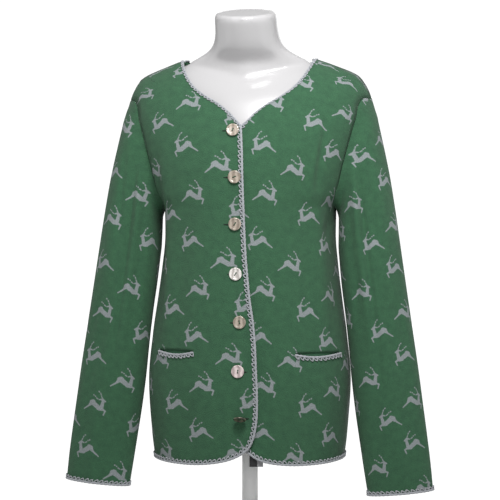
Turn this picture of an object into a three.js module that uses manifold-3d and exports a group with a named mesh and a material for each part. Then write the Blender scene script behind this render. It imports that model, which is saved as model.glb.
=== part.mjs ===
// Cardigan of felted wool knit, buttoned, standing on a limbless dress form.
// Millimetres, +Z up, the front faces -Y and the wearer's left is +X. The floor is z = 0.
// The body cloth is one formula, skin(), in two parameters: psi, the angle round the body from the
// centre line to the side seam, and w, the way down from the shoulder ridge. Each panel is a patch
// of it between outlines given as front-view sizes, with a wall behind it.

import * as THREE from 'three';
import Module from 'manifold-3d';
import { mergeVertices } from 'three/addons/utils/BufferGeometryUtils.js';

const wasm = await Module();
wasm.setup();

// Driving sizes
const CLOTH = 2.0;
const SEAM_GAP = 0.3;
const SLEEVE_GAP = 0.55;
const TURN_RISE = 1.6;
const TURN_OUT = 1.7;
const SHOULDER_TOP = 757;
const SHOULDER_FALL = 150;
const SHOULDER_BLEND = 330;
const SECTION_POWER = 2.4;
const HEM_SIDE = 125;
const HEM_BACK = 123;
const UNDERARM = 516;

const EDGING_WIDTH = 7.5;
const EDGING_THICK = 1.0;
const EDGING_GAP = 0.35;

const OVERLAP_LIFT = 4.6;
const OVERLAP_FULL = -38;
const OVERLAP_END = -105;

const BUTTON_RADIUS = 10;
const BUTTON_THICK = 2.4;
const BUTTON_RIM = 0.6;
const BUTTON_FOOT = 8.6;
const BUTTON_HOLE = 1.1;
const BUTTON_HOLE_SPREAD = 2.1;

const BASE_RADIUS = 150;
const BASE_THICK = 9;
const BASE_EDGE = 2;
const SOCKET_RADIUS = 22;
const SOCKET_HEIGHT = 46;
const POLE_RADIUS = 12.5;

const FORM_BOTTOM = 172;
const STUB_END = 173;
const SHOULDER_FROM = 25;
const SHOULDER_ROUNDING = { front: 5, back: 13 };

const COLUMNS_FRONT = 12;
const ROWS_SIDE = 14;
const ROWS_ARMHOLE = 12;
const COLUMNS_BACK = 22;

// The body's section at each height, before the shoulders slope: half its width, and how far the
// front and the back stand from the side seam.
const BODY = [
  { level: 110, half: 149, front: 115, back: 109 },
  { level: 165, half: 156, front: 117, back: 112 },
  { level: 245, half: 161, front: 120, back: 115 },
  { level: 320, half: 155, front: 119, back: 110 },
  { level: 375, half: 148, front: 117, back: 102 },
  { level: 430, half: 141.5, front: 115, back: 95 },
  { level: 480, half: 137.5, front: 114, back: 92 },
  { level: 516, half: 138, front: 115, back: 94 },
  { level: 540, half: 149, front: 116, back: 97 },
  { level: 570, half: 158, front: 116, back: 99 },
  { level: 600, half: 166, front: 113, back: 100 },
  { level: 640, half: 177, front: 107, back: 98 },
  { level: 680, half: 188, front: 102, back: 93 },
  { level: 720, half: 195, front: 99, back: 86 },
  { level: 757, half: 195, front: 97, back: 80 },
];

// How far the shoulder ridge lies below its highest point.
const RIDGE = [
  { out: 0, drop: 0 },
  { out: 98, drop: 0 },
  { out: 111, drop: 1.5 },
  { out: 124, drop: 6 },
  { out: 137, drop: 11 },
  { out: 150, drop: 16 },
  { out: 163, drop: 21.5 },
  { out: 175, drop: 28.5 },
  { out: 184, drop: 40 },
  { out: 190, drop: 51 },
  { out: 195, drop: 64 },
];

// Half the neckline, from the shoulder's high point down to the point of the V.
const NECKLINE = [
  { x: 105, z: 756 },
  { x: 99, z: 741 },
  { x: 89, z: 722 },
  { x: 75, z: 705 },
  { x: 56, z: 690.5 },
  { x: 37, z: 679 },
  { x: 20, z: 665.5 },
  { x: 6, z: 651 },
];

// The edge of the upper front below the V, down to the middle of its rounded corner, then the hem.
const UPPER_EDGE = [
  { x: 1.5, z: 643 },
  { x: 4, z: 607 },
  { x: 6.5, z: 530 },
  { x: 9.5, z: 453 },
  { x: 12.5, z: 416 },
  { x: 16.5, z: 377 },
  { x: 21.5, z: 343 },
  { x: 24.5, z: 312 },
  { x: 26.5, z: 269 },
  { x: 28, z: 223 },
  { x: 26.8, z: 190 },
  { x: 23, z: 167 },
];
const UPPER_HEM = [
  { x: 16, z: 151 },
  { x: 6, z: 141 },
  { x: -14.6, z: 130.5 },
  { x: -44, z: 124 },
  { x: -80, z: 121 },
  { x: -120, z: 122 },
];

// The same for the lower front, whose edge is covered by the upper one.
const LOWER_EDGE = [
  { x: -8, z: 640 },
  { x: -17, z: 630 },
  { x: -21.5, z: 617 },
  { x: -22, z: 560 },
  { x: -22, z: 490 },
  { x: -20, z: 416 },
  { x: -15, z: 343 },
  { x: -16, z: 267 },
  { x: -14, z: 196 },
  { x: -10, z: 168 },
];
const LOWER_HEM = [
  { x: -2, z: 153 },
  { x: 11.5, z: 141 },
  { x: 24, z: 132 },
  { x: 40, z: 126 },
  { x: 76, z: 121.5 },
  { x: 120, z: 122 },
];

// Half the armhole seam in the front view, from under the arm to the shoulder tip.
const ARMHOLE = [
  { x: 137.5, z: 524 },
  { x: 141, z: 537 },
  { x: 146, z: 554 },
  { x: 150, z: 572 },
  { x: 155, z: 592 },
  { x: 160, z: 610 },
  { x: 167, z: 636 },
  { x: 174, z: 661 },
  { x: 177, z: 680 },
  { x: 184, z: 692 },
];
const ARMHOLE_BACK = [
  { x: 137, z: 526 },
  { x: 141, z: 545 },
  { x: 147, z: 570 },
  { x: 153, z: 595 },
  { x: 160, z: 622 },
  { x: 168, z: 652 },
  { x: 175, z: 677 },
  { x: 184, z: 692 },
];

// Back neckline, half, from the centre to the shoulder's high point.
const BACK_NECK = [
  { x: 0, z: 737 },
  { x: 30, z: 738.5 },
  { x: 60, z: 743 },
  { x: 85, z: 749.5 },
];

// Long soft folds: their middle line from top to bottom, how high they stand or how deep they lie,
// and half their width.
const FOLDS = [
  { panel: 'front', x: 112, topZ: 560, endX: 132, endZ: 330, height: 4.5, reach: 15 },
  { panel: 'front', x: 129, topZ: 560, endX: 146, endZ: 300, height: -4.5, reach: 13 },
  { panel: 'front', x: 96, topZ: 520, endX: 108, endZ: 250, height: -2.5, reach: 17 },
  { panel: 'front', x: -110, topZ: 565, endX: -128, endZ: 300, height: 4.5, reach: 15 },
  { panel: 'front', x: -127, topZ: 565, endX: -141, endZ: 290, height: -5, reach: 13 },
  { panel: 'front', x: -92, topZ: 500, endX: -112, endZ: 230, height: -2.2, reach: 18 },
  { panel: 'back', x: 104, topZ: 530, endX: 126, endZ: 250, height: 3.5, reach: 17 },
  { panel: 'back', x: 121, topZ: 520, endX: 142, endZ: 260, height: -4, reach: 15 },
  { panel: 'back', x: -107, topZ: 525, endX: -124, endZ: 280, height: 3.5, reach: 17 },
  { panel: 'back', x: -123, topZ: 515, endX: -140, endZ: 230, height: -4, reach: 15 },
  { panel: 'back', x: 34, topZ: 470, endX: 46, endZ: 150, height: -4, reach: 24 },
  { panel: 'back', x: -30, topZ: 450, endX: -44, endZ: 140, height: -4.5, reach: 24 },
  { panel: 'back', x: 2, topZ: 440, endX: -4, endZ: 130, height: 3.5, reach: 22 },
];

// The sleeve's rings below the armhole: the outer and the inner end of each, how far it sits behind
// the side seam's plane, and half its depth.
const SLEEVE = [
  { outX: 205, outZ: 658, inX: 142.5, inZ: 503, y: 0, deep: 52 },
  { outX: 214, outZ: 618, inX: 142.5, inZ: 484, y: -3, deep: 52 },
  { outX: 224, outZ: 570, inX: 142.5, inZ: 463, y: -7, deep: 50 },
  { outX: 233.5, outZ: 512, inX: 144.5, inZ: 436, y: -11, deep: 47 },
  { outX: 243, outZ: 447, inX: 148, inZ: 401, y: -15, deep: 44 },
  { outX: 252.5, outZ: 382, inX: 154, inZ: 355, y: -18, deep: 41 },
  { outX: 261.5, outZ: 322, inX: 159.8, inZ: 303, y: -20, deep: 39 },
  { outX: 269.5, outZ: 268, inX: 164.5, inZ: 252, y: -22, deep: 37 },
  { outX: 276, outZ: 220, inX: 170, inZ: 206, y: -24, deep: 35 },
  { outX: 282.5, outZ: 172, inX: 176.8, inZ: 160, y: -26, deep: 32 },
  { outX: 288.5, outZ: 124, inX: 184, inZ: 113, y: -28, deep: 29 },
  { outX: 292.5, outZ: 83, inX: 190.5, inZ: 73, y: -29, deep: 27 },
];
const SLEEVE_HANG = { right: 4, left: -5 };

// Soft troughs along a sleeve: the angle round it from its outer side, forwards, the rings they run
// between, how deep they are and half their width in degrees.
const SLEEVE_FOLDS = [
  { angle: 84, from: 0, to: 6, depth: 6, reach: 17 },
  { angle: 118, from: 1, to: 8, depth: 4, reach: 16 },
  { angle: 52, from: 5, to: 12, depth: 3, reach: 18 },
  { angle: 262, from: 0, to: 7, depth: 6, reach: 18 },
  { angle: 298, from: 4, to: 12, depth: 3.5, reach: 17 },
];

// Buttons down the front: middle, tip of the face downwards and turn of the holes in degrees, and
// what each lies on.
const BUTTONS = [
  { x: -12, z: 636, tip: 0, turn: 20, on: 'edging' },
  { x: -8, z: 565, tip: 0, turn: 75, on: 'edging' },
  { x: -7.5, z: 493, tip: 0, turn: 10, on: 'edging' },
  { x: -6.5, z: 416, tip: 0, turn: 55, on: 'cloth' },
  { x: 0, z: 342, tip: 0, turn: 100, on: 'cloth' },
  { x: -2.5, z: 267, tip: 0, turn: 25, on: 'cloth' },
  { x: 1.5, z: 196, tip: 52, turn: 0, on: 'cloth' },
];
const BUTTON_SEAT = { edging: EDGING_GAP + EDGING_THICK + SEAM_GAP, cloth: SEAM_GAP + 0.1 };

// Slit pockets: the ends of each mouth, its height and how far its lower lip sags.
const POCKETS = [
  { side: 'right', fromX: -134, toX: -73, z: 297, sag: 2.6 },
  { side: 'left', fromX: 84, toX: 149, z: 294, sag: 2.6 },
];
const POCKET_SLIT = 1.2;
const POCKET_BAND = 7;
const BAND_GAP = 0.6;
const POCKET_DEPTH = 105;
const POCKET_MARGIN = 8;
const POCKET_BAG = 1.6;

// The blank label, as the front view shows it.
const LABEL = { fromX: 14, toX: 35, topZ: 150, lowZ: 120, thick: 0.9 };

// How far the form's skin lies inside the body cloth's outer face.
const FORM_CLEARANCE = [
  { level: 110, inset: 17 },
  { level: 165, inset: 16 },
  { level: 245, inset: 13 },
  { level: 320, inset: 14 },
  { level: 375, inset: 18 },
  { level: 465, inset: 25 },
  { level: 516, inset: 16 },
  { level: 560, inset: 12 },
  { level: 607, inset: 10 },
  { level: 650, inset: 10 },
  { level: 700, inset: 8.2 },
  { level: 735, inset: 6.8 },
  { level: 757, inset: 4.4 },
];

// Where the torso's rings lie between its ridge and its bottom.
const FORM_STEPS = [0, 0.02, 0.05, 0.09, 0.14, 0.2, 0.27, 0.34, 0.42, 0.5, 0.58, 0.66, 0.75, 0.84, 0.92, 1];
const NECK_SIDES = 20;
const BASE_SIDES = 40;
const POLE_SIDES = 16;

// The form's neck: rings from its root inside the chest up to the tilted cap.
const NECK = [
  { y: -10, z: 700, wide: 90, deep: 46, tilt: 0, power: 1.6 },
  { y: -10, z: 738, wide: 103, deep: 43, tilt: 0, power: 1.25 },
  { y: -12, z: 753, wide: 96, deep: 45, tilt: 3, power: 1.3 },
  { y: -16, z: 760, wide: 82, deep: 46, tilt: 5, power: 1.4 },
  { y: -21, z: 767, wide: 68, deep: 47, tilt: 8, power: 1.6 },
  { y: -27, z: 775.5, wide: 57.5, deep: 47.5, tilt: 10, power: 1.85 },
  { y: -35, z: 788, wide: 51.5, deep: 47.5, tilt: 13, power: 2 },
  { y: -44, z: 802, wide: 49.5, deep: 47, tilt: 15, power: 2 },
  { y: -55, z: 820, wide: 48.8, deep: 47, tilt: 16, power: 2 },
  { y: -57.5, z: 825.5, wide: 47, deep: 45.2, tilt: 16, power: 2 },
];

// Smooth value of one column of a table at a place along its first column.
function read(table, key, column, at) {
  const last = table.length - 1;
  if (at <= table[0][key]) return table[0][column];
  if (at >= table[last][key]) return table[last][column];
  const slope = (a, b) => (table[b][column] - table[a][column]) / (table[b][key] - table[a][key]);
  const k = table.findIndex((row) => row[key] > at) - 1;
  const own = slope(k, k + 1);
  const tangent = (a, b) => {
    if (a < 0 || b > last) return own;
    const before = slope(a, a + 1);
    const after = slope(b - 1, b);
    return before * after <= 0 ? 0 : (2 * before * after) / (before + after);
  };
  const span = table[k + 1][key] - table[k][key];
  const s = (at - table[k][key]) / span;
  const start = tangent(k - 1, k + 1) * span;
  const end = tangent(k, k + 2) * span;
  const from = table[k][column];
  const to = table[k + 1][column];
  return from + s * (start + s * (3 * (to - from) - 2 * start - end + s * (start + end - 2 * (to - from))));
}

const smooth = (low, high, at) => THREE.MathUtils.smoothstep(at, low, high);
const QUARTER = (SHOULDER_FALL * Math.PI) / 2;

// Height lost and share of the depth gained w millimetres down from the ridge: a quarter ellipse
// over the shoulder, then straight down.
function fall(w) {
  const angle = Math.max(-1, Math.min(1, w / QUARTER)) * (Math.PI / 2);
  const beyond = Math.max(0, w - QUARTER);
  return { height: SHOULDER_FALL * (1 - Math.cos(angle)) + beyond, depth: Math.sin(angle) };
}

const ridgeDrop = (x) => read(RIDGE, 'out', 'drop', Math.abs(x));
const ridgeShare = (w) => 1 - smooth(0, SHOULDER_BLEND, Math.abs(w));

// A point of the body cloth's outer face, before folds.
function skin(side, psi, w) {
  const { height, depth } = fall(w);
  const level = SHOULDER_TOP - height;
  const power = SECTION_POWER;
  const ray = (Math.abs(Math.cos(psi)) ** power + Math.abs(Math.sin(psi)) ** power) ** (-1 / power);
  const x = read(BODY, 'level', 'half', level) * ray * Math.sin(psi);
  const out = read(BODY, 'level', side, level) * depth * ray * Math.cos(psi) + SEAM_GAP / 2;
  const z = level - ridgeDrop(x) * ridgeShare(w);
  return new THREE.Vector3(x, side === 'front' ? -out : out, z);
}

// The outward direction there, from small steps along both parameters.
function outward(side, psi, w) {
  const step = { psi: 0.004, w: 0.8 };
  const across = skin(side, psi + step.psi, w).sub(skin(side, psi - step.psi, w));
  const down = skin(side, psi, w + step.w).sub(skin(side, psi, w - step.w));
  const normal = new THREE.Vector3().crossVectors(down, across).normalize();
  return side === 'front' ? normal : normal.negate();
}

// How far the folds of a panel lift its cloth at a point.
function foldHeight(side, x, z, psi) {
  let height = 0;
  for (const fold of FOLDS) {
    const along = (fold.topZ - z) / (fold.topZ - fold.endZ);
    if (fold.panel !== side || along <= 0 || along >= 1) continue;
    const middle = fold.x + (fold.endX - fold.x) * along;
    height += fold.height * Math.sin(Math.PI * along) * Math.exp(-(((x - middle) / fold.reach) ** 2));
  }
  return height * (1 - Math.abs(psi / (Math.PI / 2)) ** 8);
}

// A point of the finished cloth, lifted off its outer face.
function cloth(panel, psi, w, lift = 0) {
  const point = skin(panel.side, psi, w);
  const overlap = panel.upper ? OVERLAP_LIFT * smooth(OVERLAP_END, OVERLAP_FULL, point.x) : 0;
  const height = foldHeight(panel.side, point.x, point.z, psi) + overlap + lift;
  return point.addScaledVector(outward(panel.side, psi, w), height);
}

// The parameters of the point that the front view shows at x, z.
function locate(x, z) {
  let low = 0;
  let high = 900;
  for (let turn = 0; turn < 50; turn += 1) {
    const w = (low + high) / 2;
    const height = SHOULDER_TOP - fall(w).height - ridgeDrop(x) * ridgeShare(w);
    if (height > z) low = w;
    else high = w;
  }
  const w = (low + high) / 2;
  const half = read(BODY, 'level', 'half', SHOULDER_TOP - fall(w).height);
  const share = Math.min(1, Math.abs(x) / half);
  const psi = Math.atan2(share, (1 - share ** SECTION_POWER) ** (1 / SECTION_POWER));
  return { psi: Math.sign(x) * psi, w };
}

// Evenly spaced parameters along a smooth line through front-view points, ends included.
function outline(points, segments) {
  const curve = new THREE.CatmullRomCurve3(
    points.map((point) => new THREE.Vector3(point.x, 0, point.z)),
    false,
    'centripetal',
  );
  return Array.from({ length: segments + 1 }, (_, k) => {
    const point = curve.getPointAt(k / segments);
    return locate(point.x, point.z);
  });
}

const mirrored = (points) => points.map((point) => ({ x: -point.x, z: point.z }));
const joined = (first, second) => [...first, ...second.slice(1)];

// A grid of parameters between four outlines, blended so that it meets all four.
function patch({ bottom, top, start, end }) {
  const columns = bottom.length - 1;
  const rows = start.length - 1;
  const mix = (key, i, j) => {
    const u = i / columns;
    const v = j / rows;
    const corners =
      (1 - u) * (1 - v) * bottom[0][key] +
      u * (1 - v) * bottom[columns][key] +
      (1 - u) * v * top[0][key] +
      u * v * top[columns][key];
    const sides = (1 - u) * start[j][key] + u * end[j][key];
    return sides + (1 - v) * bottom[i][key] + v * top[i][key] - corners;
  };
  return start.map((_, j) => bottom.map((__, i) => ({ psi: mix('psi', i, j), w: mix('w', i, j) })));
}

// A closed mesh from points and triangles, turned outside out if need be.
function closedGeometry(points, triangles) {
  const volume = triangles.reduce((sum, [a, b, c]) => {
    const cross = new THREE.Vector3().crossVectors(points[b], points[c]);
    return sum + points[a].dot(cross);
  }, 0);
  const ordered = volume < 0 ? triangles.map(([a, b, c]) => [a, c, b]) : triangles;
  const geometry = new THREE.BufferGeometry();
  geometry.setAttribute(
    'position',
    new THREE.Float32BufferAttribute(points.flatMap((point) => point.toArray()), 3),
  );
  geometry.setIndex(ordered.flat());
  return geometry;
}

// A wall between two layers of points with the same triangles, closed along its free edges.
function sheetGeometry(outer, inner, triangles) {
  const used = [...new Set(triangles.flat())];
  const place = new Map(used.map((index, k) => [index, k]));
  const count = used.length;
  const faces = triangles.map((face) => face.map((index) => place.get(index)));
  const edges = faces.flatMap(([a, b, c]) => [[a, b], [b, c], [c, a]]);
  const directed = new Set(edges.map(([a, b]) => `${a} ${b}`));
  const free = edges.filter(([a, b]) => !directed.has(`${b} ${a}`));
  return closedGeometry(
    [...used.map((index) => outer[index]), ...used.map((index) => inner[index])],
    [
      ...faces,
      ...faces.map(([a, b, c]) => [a + count, c + count, b + count]),
      ...free.flatMap(([a, b]) => [[a, a + count, b + count], [a, b + count, b]]),
    ],
  );
}

// The two triangles of each cell of a grid, for the cells asked for.
function gridTriangles(rows, columns, ring = false, wanted = () => true) {
  const triangles = [];
  const at = (j, i) => j * columns + (i % columns);
  for (let j = 0; j < rows - 1; j += 1) {
    for (let i = 0; i < (ring ? columns : columns - 1); i += 1) {
      if (wanted(i, j)) {
        triangles.push([at(j, i), at(j, i + 1), at(j + 1, i + 1)], [at(j, i), at(j + 1, i + 1), at(j + 1, i)]);
      }
    }
  }
  return triangles;
}

// A wall between an outer and an inner grid of points. Rings close on themselves.
function wallGeometry(outer, inner, ring = false) {
  const triangles = gridTriangles(outer.length, outer[0].length, ring);
  return sheetGeometry(outer.flat(), inner.flat(), triangles);
}

// A solid stack of rings with flat ends.
function stackGeometry(rings) {
  const count = rings[0].length;
  const points = rings.flat();
  const at = (j, i) => j * count + (i % count);
  const triangles = [];
  for (let j = 0; j < rings.length - 1; j += 1) {
    for (let i = 0; i < count; i += 1) {
      triangles.push([at(j, i), at(j, i + 1), at(j + 1, i + 1)], [at(j, i), at(j + 1, i + 1), at(j + 1, i)]);
    }
  }
  const last = rings.length - 1;
  for (let i = 1; i < count - 1; i += 1) {
    triangles.push([at(0, 0), at(0, i + 1), at(0, i)], [at(last, 0), at(last, i), at(last, i + 1)]);
  }
  return closedGeometry(points, triangles);
}

// Solids for cutting and joining.
function solidOf(geometry) {
  const bare = geometry.clone();
  bare.deleteAttribute('normal');
  bare.deleteAttribute('uv');
  const merged = mergeVertices(bare, 1e-4);
  return new wasm.Manifold(
    new wasm.Mesh({
      numProp: 3,
      vertProperties: merged.attributes.position.array,
      triVerts: new Uint32Array(merged.index.array),
    }),
  );
}

function geometryOf(solid) {
  const mesh = solid.getMesh();
  const geometry = new THREE.BufferGeometry();
  geometry.setAttribute('position', new THREE.BufferAttribute(mesh.vertProperties, 3));
  geometry.setIndex(new THREE.BufferAttribute(mesh.triVerts, 1));
  return geometry;
}

// Moves the line of nodes beside an edge of a grid to the edging's width from that edge, and
// spreads the next two lines evenly up to the fourth, by a share of the way that each place gives.
function narrowBorder(side, lines, weight = () => 1) {
  const place = ({ psi, w }) => skin(side, psi, w);
  const [edge, beside, second, third, fourth] = lines;
  const between = (from, to, share) => ({
    psi: from.psi + (to.psi - from.psi) * share,
    w: from.w + (to.w - from.w) * share,
  });
  edge.forEach((node, k) => {
    const here = place(node);
    const after = place(edge[Math.min(k + 1, edge.length - 1)]);
    const along = after.sub(place(edge[Math.max(k - 1, 0)])).normalize();
    const step = place(beside[k]).sub(here);
    const square = step.clone().addScaledVector(along, -step.dot(along)).length();
    const near = between(node, beside[k], Math.min(1, EDGING_WIDTH / square));
    const share = weight(k);
    Object.assign(beside[k], between(beside[k], near, share));
    Object.assign(second[k], between(second[k], between(beside[k], fourth[k], 1 / 3), share));
    Object.assign(third[k], between(third[k], between(beside[k], fourth[k], 2 / 3), share));
  });
}

// A panel keeps the grid of its outer face and of the outward directions, because what lies on it
// is made from the same nodes.
function makePanel(panel, grid) {
  const face = (lift) => grid.map((row) => row.map(({ psi, w }) => cloth(panel, psi, w, lift)));
  const normals = grid.map((row) => row.map(({ psi, w }) => outward(panel.side, psi, w)));
  return { ...panel, outer: face(0), inner: face(-CLOTH), normals };
}

// A piece that lies on some cells of a panel, between two heights above its outer face.
function onPanel(panel, low, high, wanted) {
  const rows = panel.outer.length;
  const columns = panel.outer[0].length;
  const normals = panel.normals.flat();
  const layer = (lift) => panel.outer.flat().map((point, k) => point.clone().addScaledVector(normals[k], lift));
  return sheetGeometry(layer(high), layer(low), gridTriangles(rows, columns, false, wanted));
}

const onEdging = (panel, wanted) => onPanel(panel, EDGING_GAP, EDGING_GAP + EDGING_THICK, wanted);

// Panels
const EDGE_ROWS = 18;
const NECK_ROWS = ROWS_SIDE + ROWS_ARMHOLE - EDGE_ROWS;
const SHOULDER_COLUMNS_BACK = 6;
const NECK_COLUMNS_BACK = COLUMNS_BACK - 2 * SHOULDER_COLUMNS_BACK;

const HEM_HALF = read(BODY, 'level', 'half', HEM_SIDE) + 0.01;
const shoulderPoint = NECKLINE[0];
const tipPoint = { x: 195, z: SHOULDER_TOP - 64 };
const underarmPoint = { x: 138, z: UNDERARM };
const ridgeFrom = (x) => [
  { x, z: SHOULDER_TOP - ridgeDrop(x) },
  ...RIDGE.filter((row) => row.out > x).map((row) => ({ x: row.out, z: SHOULDER_TOP - row.drop })),
];
const sideSeam = (hem) => [
  { x: 200, z: hem },
  { x: 200, z: UNDERARM },
];
const armhole = (points) => [underarmPoint, ...points, tipPoint];

// Outlines of a front for the wearer's left, all in front-view points. The other side is mirrored.
function frontPanel(name, edge, hem, sign) {
  const neck = [...NECKLINE].reverse();
  const centred = sign > 0 ? (points) => points : mirrored;
  const vPoint = edge[0];
  const corner = edge[edge.length - 1];
  const neckLine = outline([vPoint, ...centred(neck)], NECK_ROWS);
  const frontLine = outline([...edge].reverse(), EDGE_ROWS);
  const hemLine = outline([corner, ...hem, { x: sign * HEM_HALF, z: HEM_SIDE }], COLUMNS_FRONT);
  const side = outline(centred(sideSeam(HEM_SIDE)), ROWS_SIDE);
  const arm = outline(centred(armhole(ARMHOLE)), ROWS_ARMHOLE);
  const shoulder = outline(centred(ridgeFrom(shoulderPoint.x)), COLUMNS_FRONT);
  const start = joined(frontLine, neckLine);
  const grid = patch({ bottom: hemLine, top: shoulder, start, end: joined(side, arm) });
  narrowBorder('front', [0, 1, 2, 3, 4].map((i) => grid.map((row) => row[i])));
  narrowBorder('front', grid.slice(0, 5).map((row) => row.slice(1)));
  return makePanel({ name, side: 'front', upper: sign < 0 }, grid);
}

function backPanel() {
  const neckHalf = [...BACK_NECK, shoulderPoint];
  const neck = [...mirrored(neckHalf).reverse(), ...neckHalf.slice(1)];
  const shoulder = outline(ridgeFrom(shoulderPoint.x), SHOULDER_COLUMNS_BACK);
  const shoulderMirror = outline(mirrored(ridgeFrom(shoulderPoint.x)).reverse(), SHOULDER_COLUMNS_BACK);
  const top = joined(joined(shoulderMirror, outline(neck, NECK_COLUMNS_BACK)), shoulder);
  const arm = armhole(ARMHOLE_BACK);
  const side = (points) => joined(
    outline(points(sideSeam(HEM_SIDE)), ROWS_SIDE),
    outline(points(arm), ROWS_ARMHOLE),
  );
  const hemPoints = [-1, -0.72, -0.4, 0, 0.4, 0.72, 1].map((share) => ({
    x: share * HEM_HALF,
    z: HEM_BACK + (HEM_SIDE - HEM_BACK) * share ** 2,
  }));
  const grid = patch({
    bottom: outline(hemPoints, COLUMNS_BACK),
    top,
    start: side(mirrored),
    end: side((points) => points),
  });
  const fromArmhole = (i) => Math.min(i, COLUMNS_BACK - i);
  narrowBorder('back', grid.slice(0, 5));
  narrowBorder('back', grid.slice(-5).reverse(), (i) => smooth(0, SHOULDER_COLUMNS_BACK, fromArmhole(i)));
  return makePanel({ name: 'back', side: 'back', upper: false }, grid);
}

// The direction in the cloth that leads off a panel across its armhole edge.
function offArmhole(panel, j, column) {
  const rows = panel.outer.length - 1;
  const inner = column === 0 ? 1 : column - 1;
  const above = panel.outer[Math.min(rows, j + 1)][column];
  const below = panel.outer[Math.max(ROWS_SIDE, j - 1)][column];
  const along = above.clone().sub(below);
  const off = new THREE.Vector3().crossVectors(along, panel.normals[j][column]).normalize();
  const inside = panel.outer[Math.max(0, j - 1)][inner].clone().sub(panel.outer[j][column]);
  return off.dot(inside) > 0 ? off.negate() : off;
}

// The armhole loop from the shoulder tip round the front: points of the panels' faces, with the
// directions off the seam and out of the cloth.
function armholeLoop(front, back, sign) {
  const frontColumn = front.outer[0].length - 1;
  const backColumn = sign > 0 ? back.outer[0].length - 1 : 0;
  const tip = front.outer.length - 1;
  const node = (panel, column, j) => ({
    point: panel.outer[j][column].clone(),
    normal: panel.normals[j][column].clone(),
    off: offArmhole(panel, j, column),
  });
  const middle = (j) => {
    const near = node(front, frontColumn, j);
    const far = node(back, backColumn, j);
    return {
      point: near.point.lerp(far.point, 0.5),
      normal: near.normal.add(far.normal).normalize(),
      off: near.off.add(far.off).normalize(),
    };
  };
  const between = Array.from({ length: ROWS_ARMHOLE - 1 }, (_, k) => tip - 1 - k);
  return [
    middle(tip),
    ...between.map((j) => node(front, frontColumn, j)),
    middle(ROWS_SIDE),
    ...[...between].reverse().map((j) => node(back, backColumn, j)),
  ];
}

// The sleeve's first two rings: along the seam, and just past it, where the cloth turns over under
// the arm. The turn is full where the sleeve leads back down beside the body.
function seamRings(loop, next) {
  const place = ({ point, off, normal }, away, out) =>
    point.clone().addScaledVector(off, away).addScaledVector(normal, out);
  const turns = loop.map(({ point, off }, i) => {
    const along = next[i].clone().sub(point).normalize().dot(off);
    return THREE.MathUtils.clamp((0.6 - along) / 1.2, 0, 1);
  });
  return {
    outer: [
      loop.map((node) => place(node, SLEEVE_GAP, 0)),
      loop.map((node, i) => place(node, TURN_RISE, TURN_OUT * turns[i])),
    ],
    inner: [
      loop.map((node) => place(node, SLEEVE_GAP, -CLOTH)),
      loop.map((node, i) =>
        place(node, TURN_RISE + 1.1 * CLOTH * turns[i], (TURN_OUT + CLOTH) * turns[i] * 0.8 - CLOTH),
      ),
    ],
  };
}

// One ring of a sleeve, inset from its outer face.
function sleeveRing(row, k, sign, hang, inset) {
  const count = 2 * ROWS_ARMHOLE;
  const across = new THREE.Vector3(row.outX - row.inX, 0, row.outZ - row.inZ).divideScalar(2);
  const half = across.length();
  const direction = across.clone().divideScalar(half);
  const centre = new THREE.Vector3(row.outX + row.inX, 2 * row.y, row.outZ + row.inZ).divideScalar(2);
  return Array.from({ length: count }, (_, i) => {
    const angle = (360 * i) / count;
    const dent = SLEEVE_FOLDS.reduce((sum, fold) => {
      const along = (k + 1 - fold.from) / (fold.to - fold.from);
      if (along <= 0 || along >= 1) return sum;
      return sum + fold.depth * Math.sin(Math.PI * along) * Math.exp(-(((angle - fold.angle) / fold.reach) ** 2));
    }, 0);
    const turn = THREE.MathUtils.degToRad(angle);
    const point = centre
      .clone()
      .addScaledVector(direction, (half - inset) * Math.cos(turn))
      .add(new THREE.Vector3(0, -(row.deep - inset - dent) * Math.sin(turn), 0));
    return new THREE.Vector3(sign * point.x, point.y, point.z + (hang * (k + 1)) / SLEEVE.length);
  });
}

function sleeveGeometry(front, back, sign, hang) {
  const rings = (inset) => SLEEVE.map((row, k) => sleeveRing(row, k, sign, hang, inset));
  const outer = rings(0);
  const seam = seamRings(armholeLoop(front, back, sign), outer[0]);
  return wallGeometry([...seam.outer, ...outer], [...seam.inner, ...rings(CLOTH)], true);
}

// The cuff's edging: a ring outside the sleeve's last stretch.
function cuffEdging(sign, hang) {
  const last = SLEEVE.length - 1;
  const length = SLEEVE[last].outZ - SLEEVE[last - 1].outZ;
  const up = -EDGING_WIDTH / length;
  const ring = (lift, share) => {
    const near = sleeveRing(SLEEVE[last], last, sign, hang, -lift);
    const far = sleeveRing(SLEEVE[last - 1], last - 1, sign, hang, -lift);
    return near.map((point, i) => point.lerp(far[i], share));
  };
  const rows = (lift) => [ring(lift, 0), ring(lift, up)];
  return wallGeometry(rows(EDGING_GAP + EDGING_THICK), rows(EDGING_GAP), true);
}

// Pockets
const lowerLip = (pocket, share) => pocket.z - POCKET_SLIT / 2 - pocket.sag * Math.sin(Math.PI * share);
const POCKET_STEPS = 8;
const pocketShares = Array.from({ length: POCKET_STEPS + 1 }, (_, k) => k / POCKET_STEPS);
const pocketX = (pocket, share) => pocket.fromX + (pocket.toX - pocket.fromX) * share;

const CUT_FROM = -30;
const CUT_REACH = 120;

// A prism through the wall, in the shape of the slit.
function slitCutter(pocket) {
  const shape = new THREE.Shape();
  shape.moveTo(pocket.fromX, pocket.z + POCKET_SLIT / 2);
  for (const share of pocketShares) shape.lineTo(pocketX(pocket, share), lowerLip(pocket, share));
  shape.lineTo(pocket.toX, pocket.z + POCKET_SLIT / 2);
  const geometry = new THREE.ExtrudeGeometry(shape, { depth: CUT_REACH, bevelEnabled: false });
  return geometry.rotateX(Math.PI / 2).translate(0, CUT_FROM, 0);
}

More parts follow.
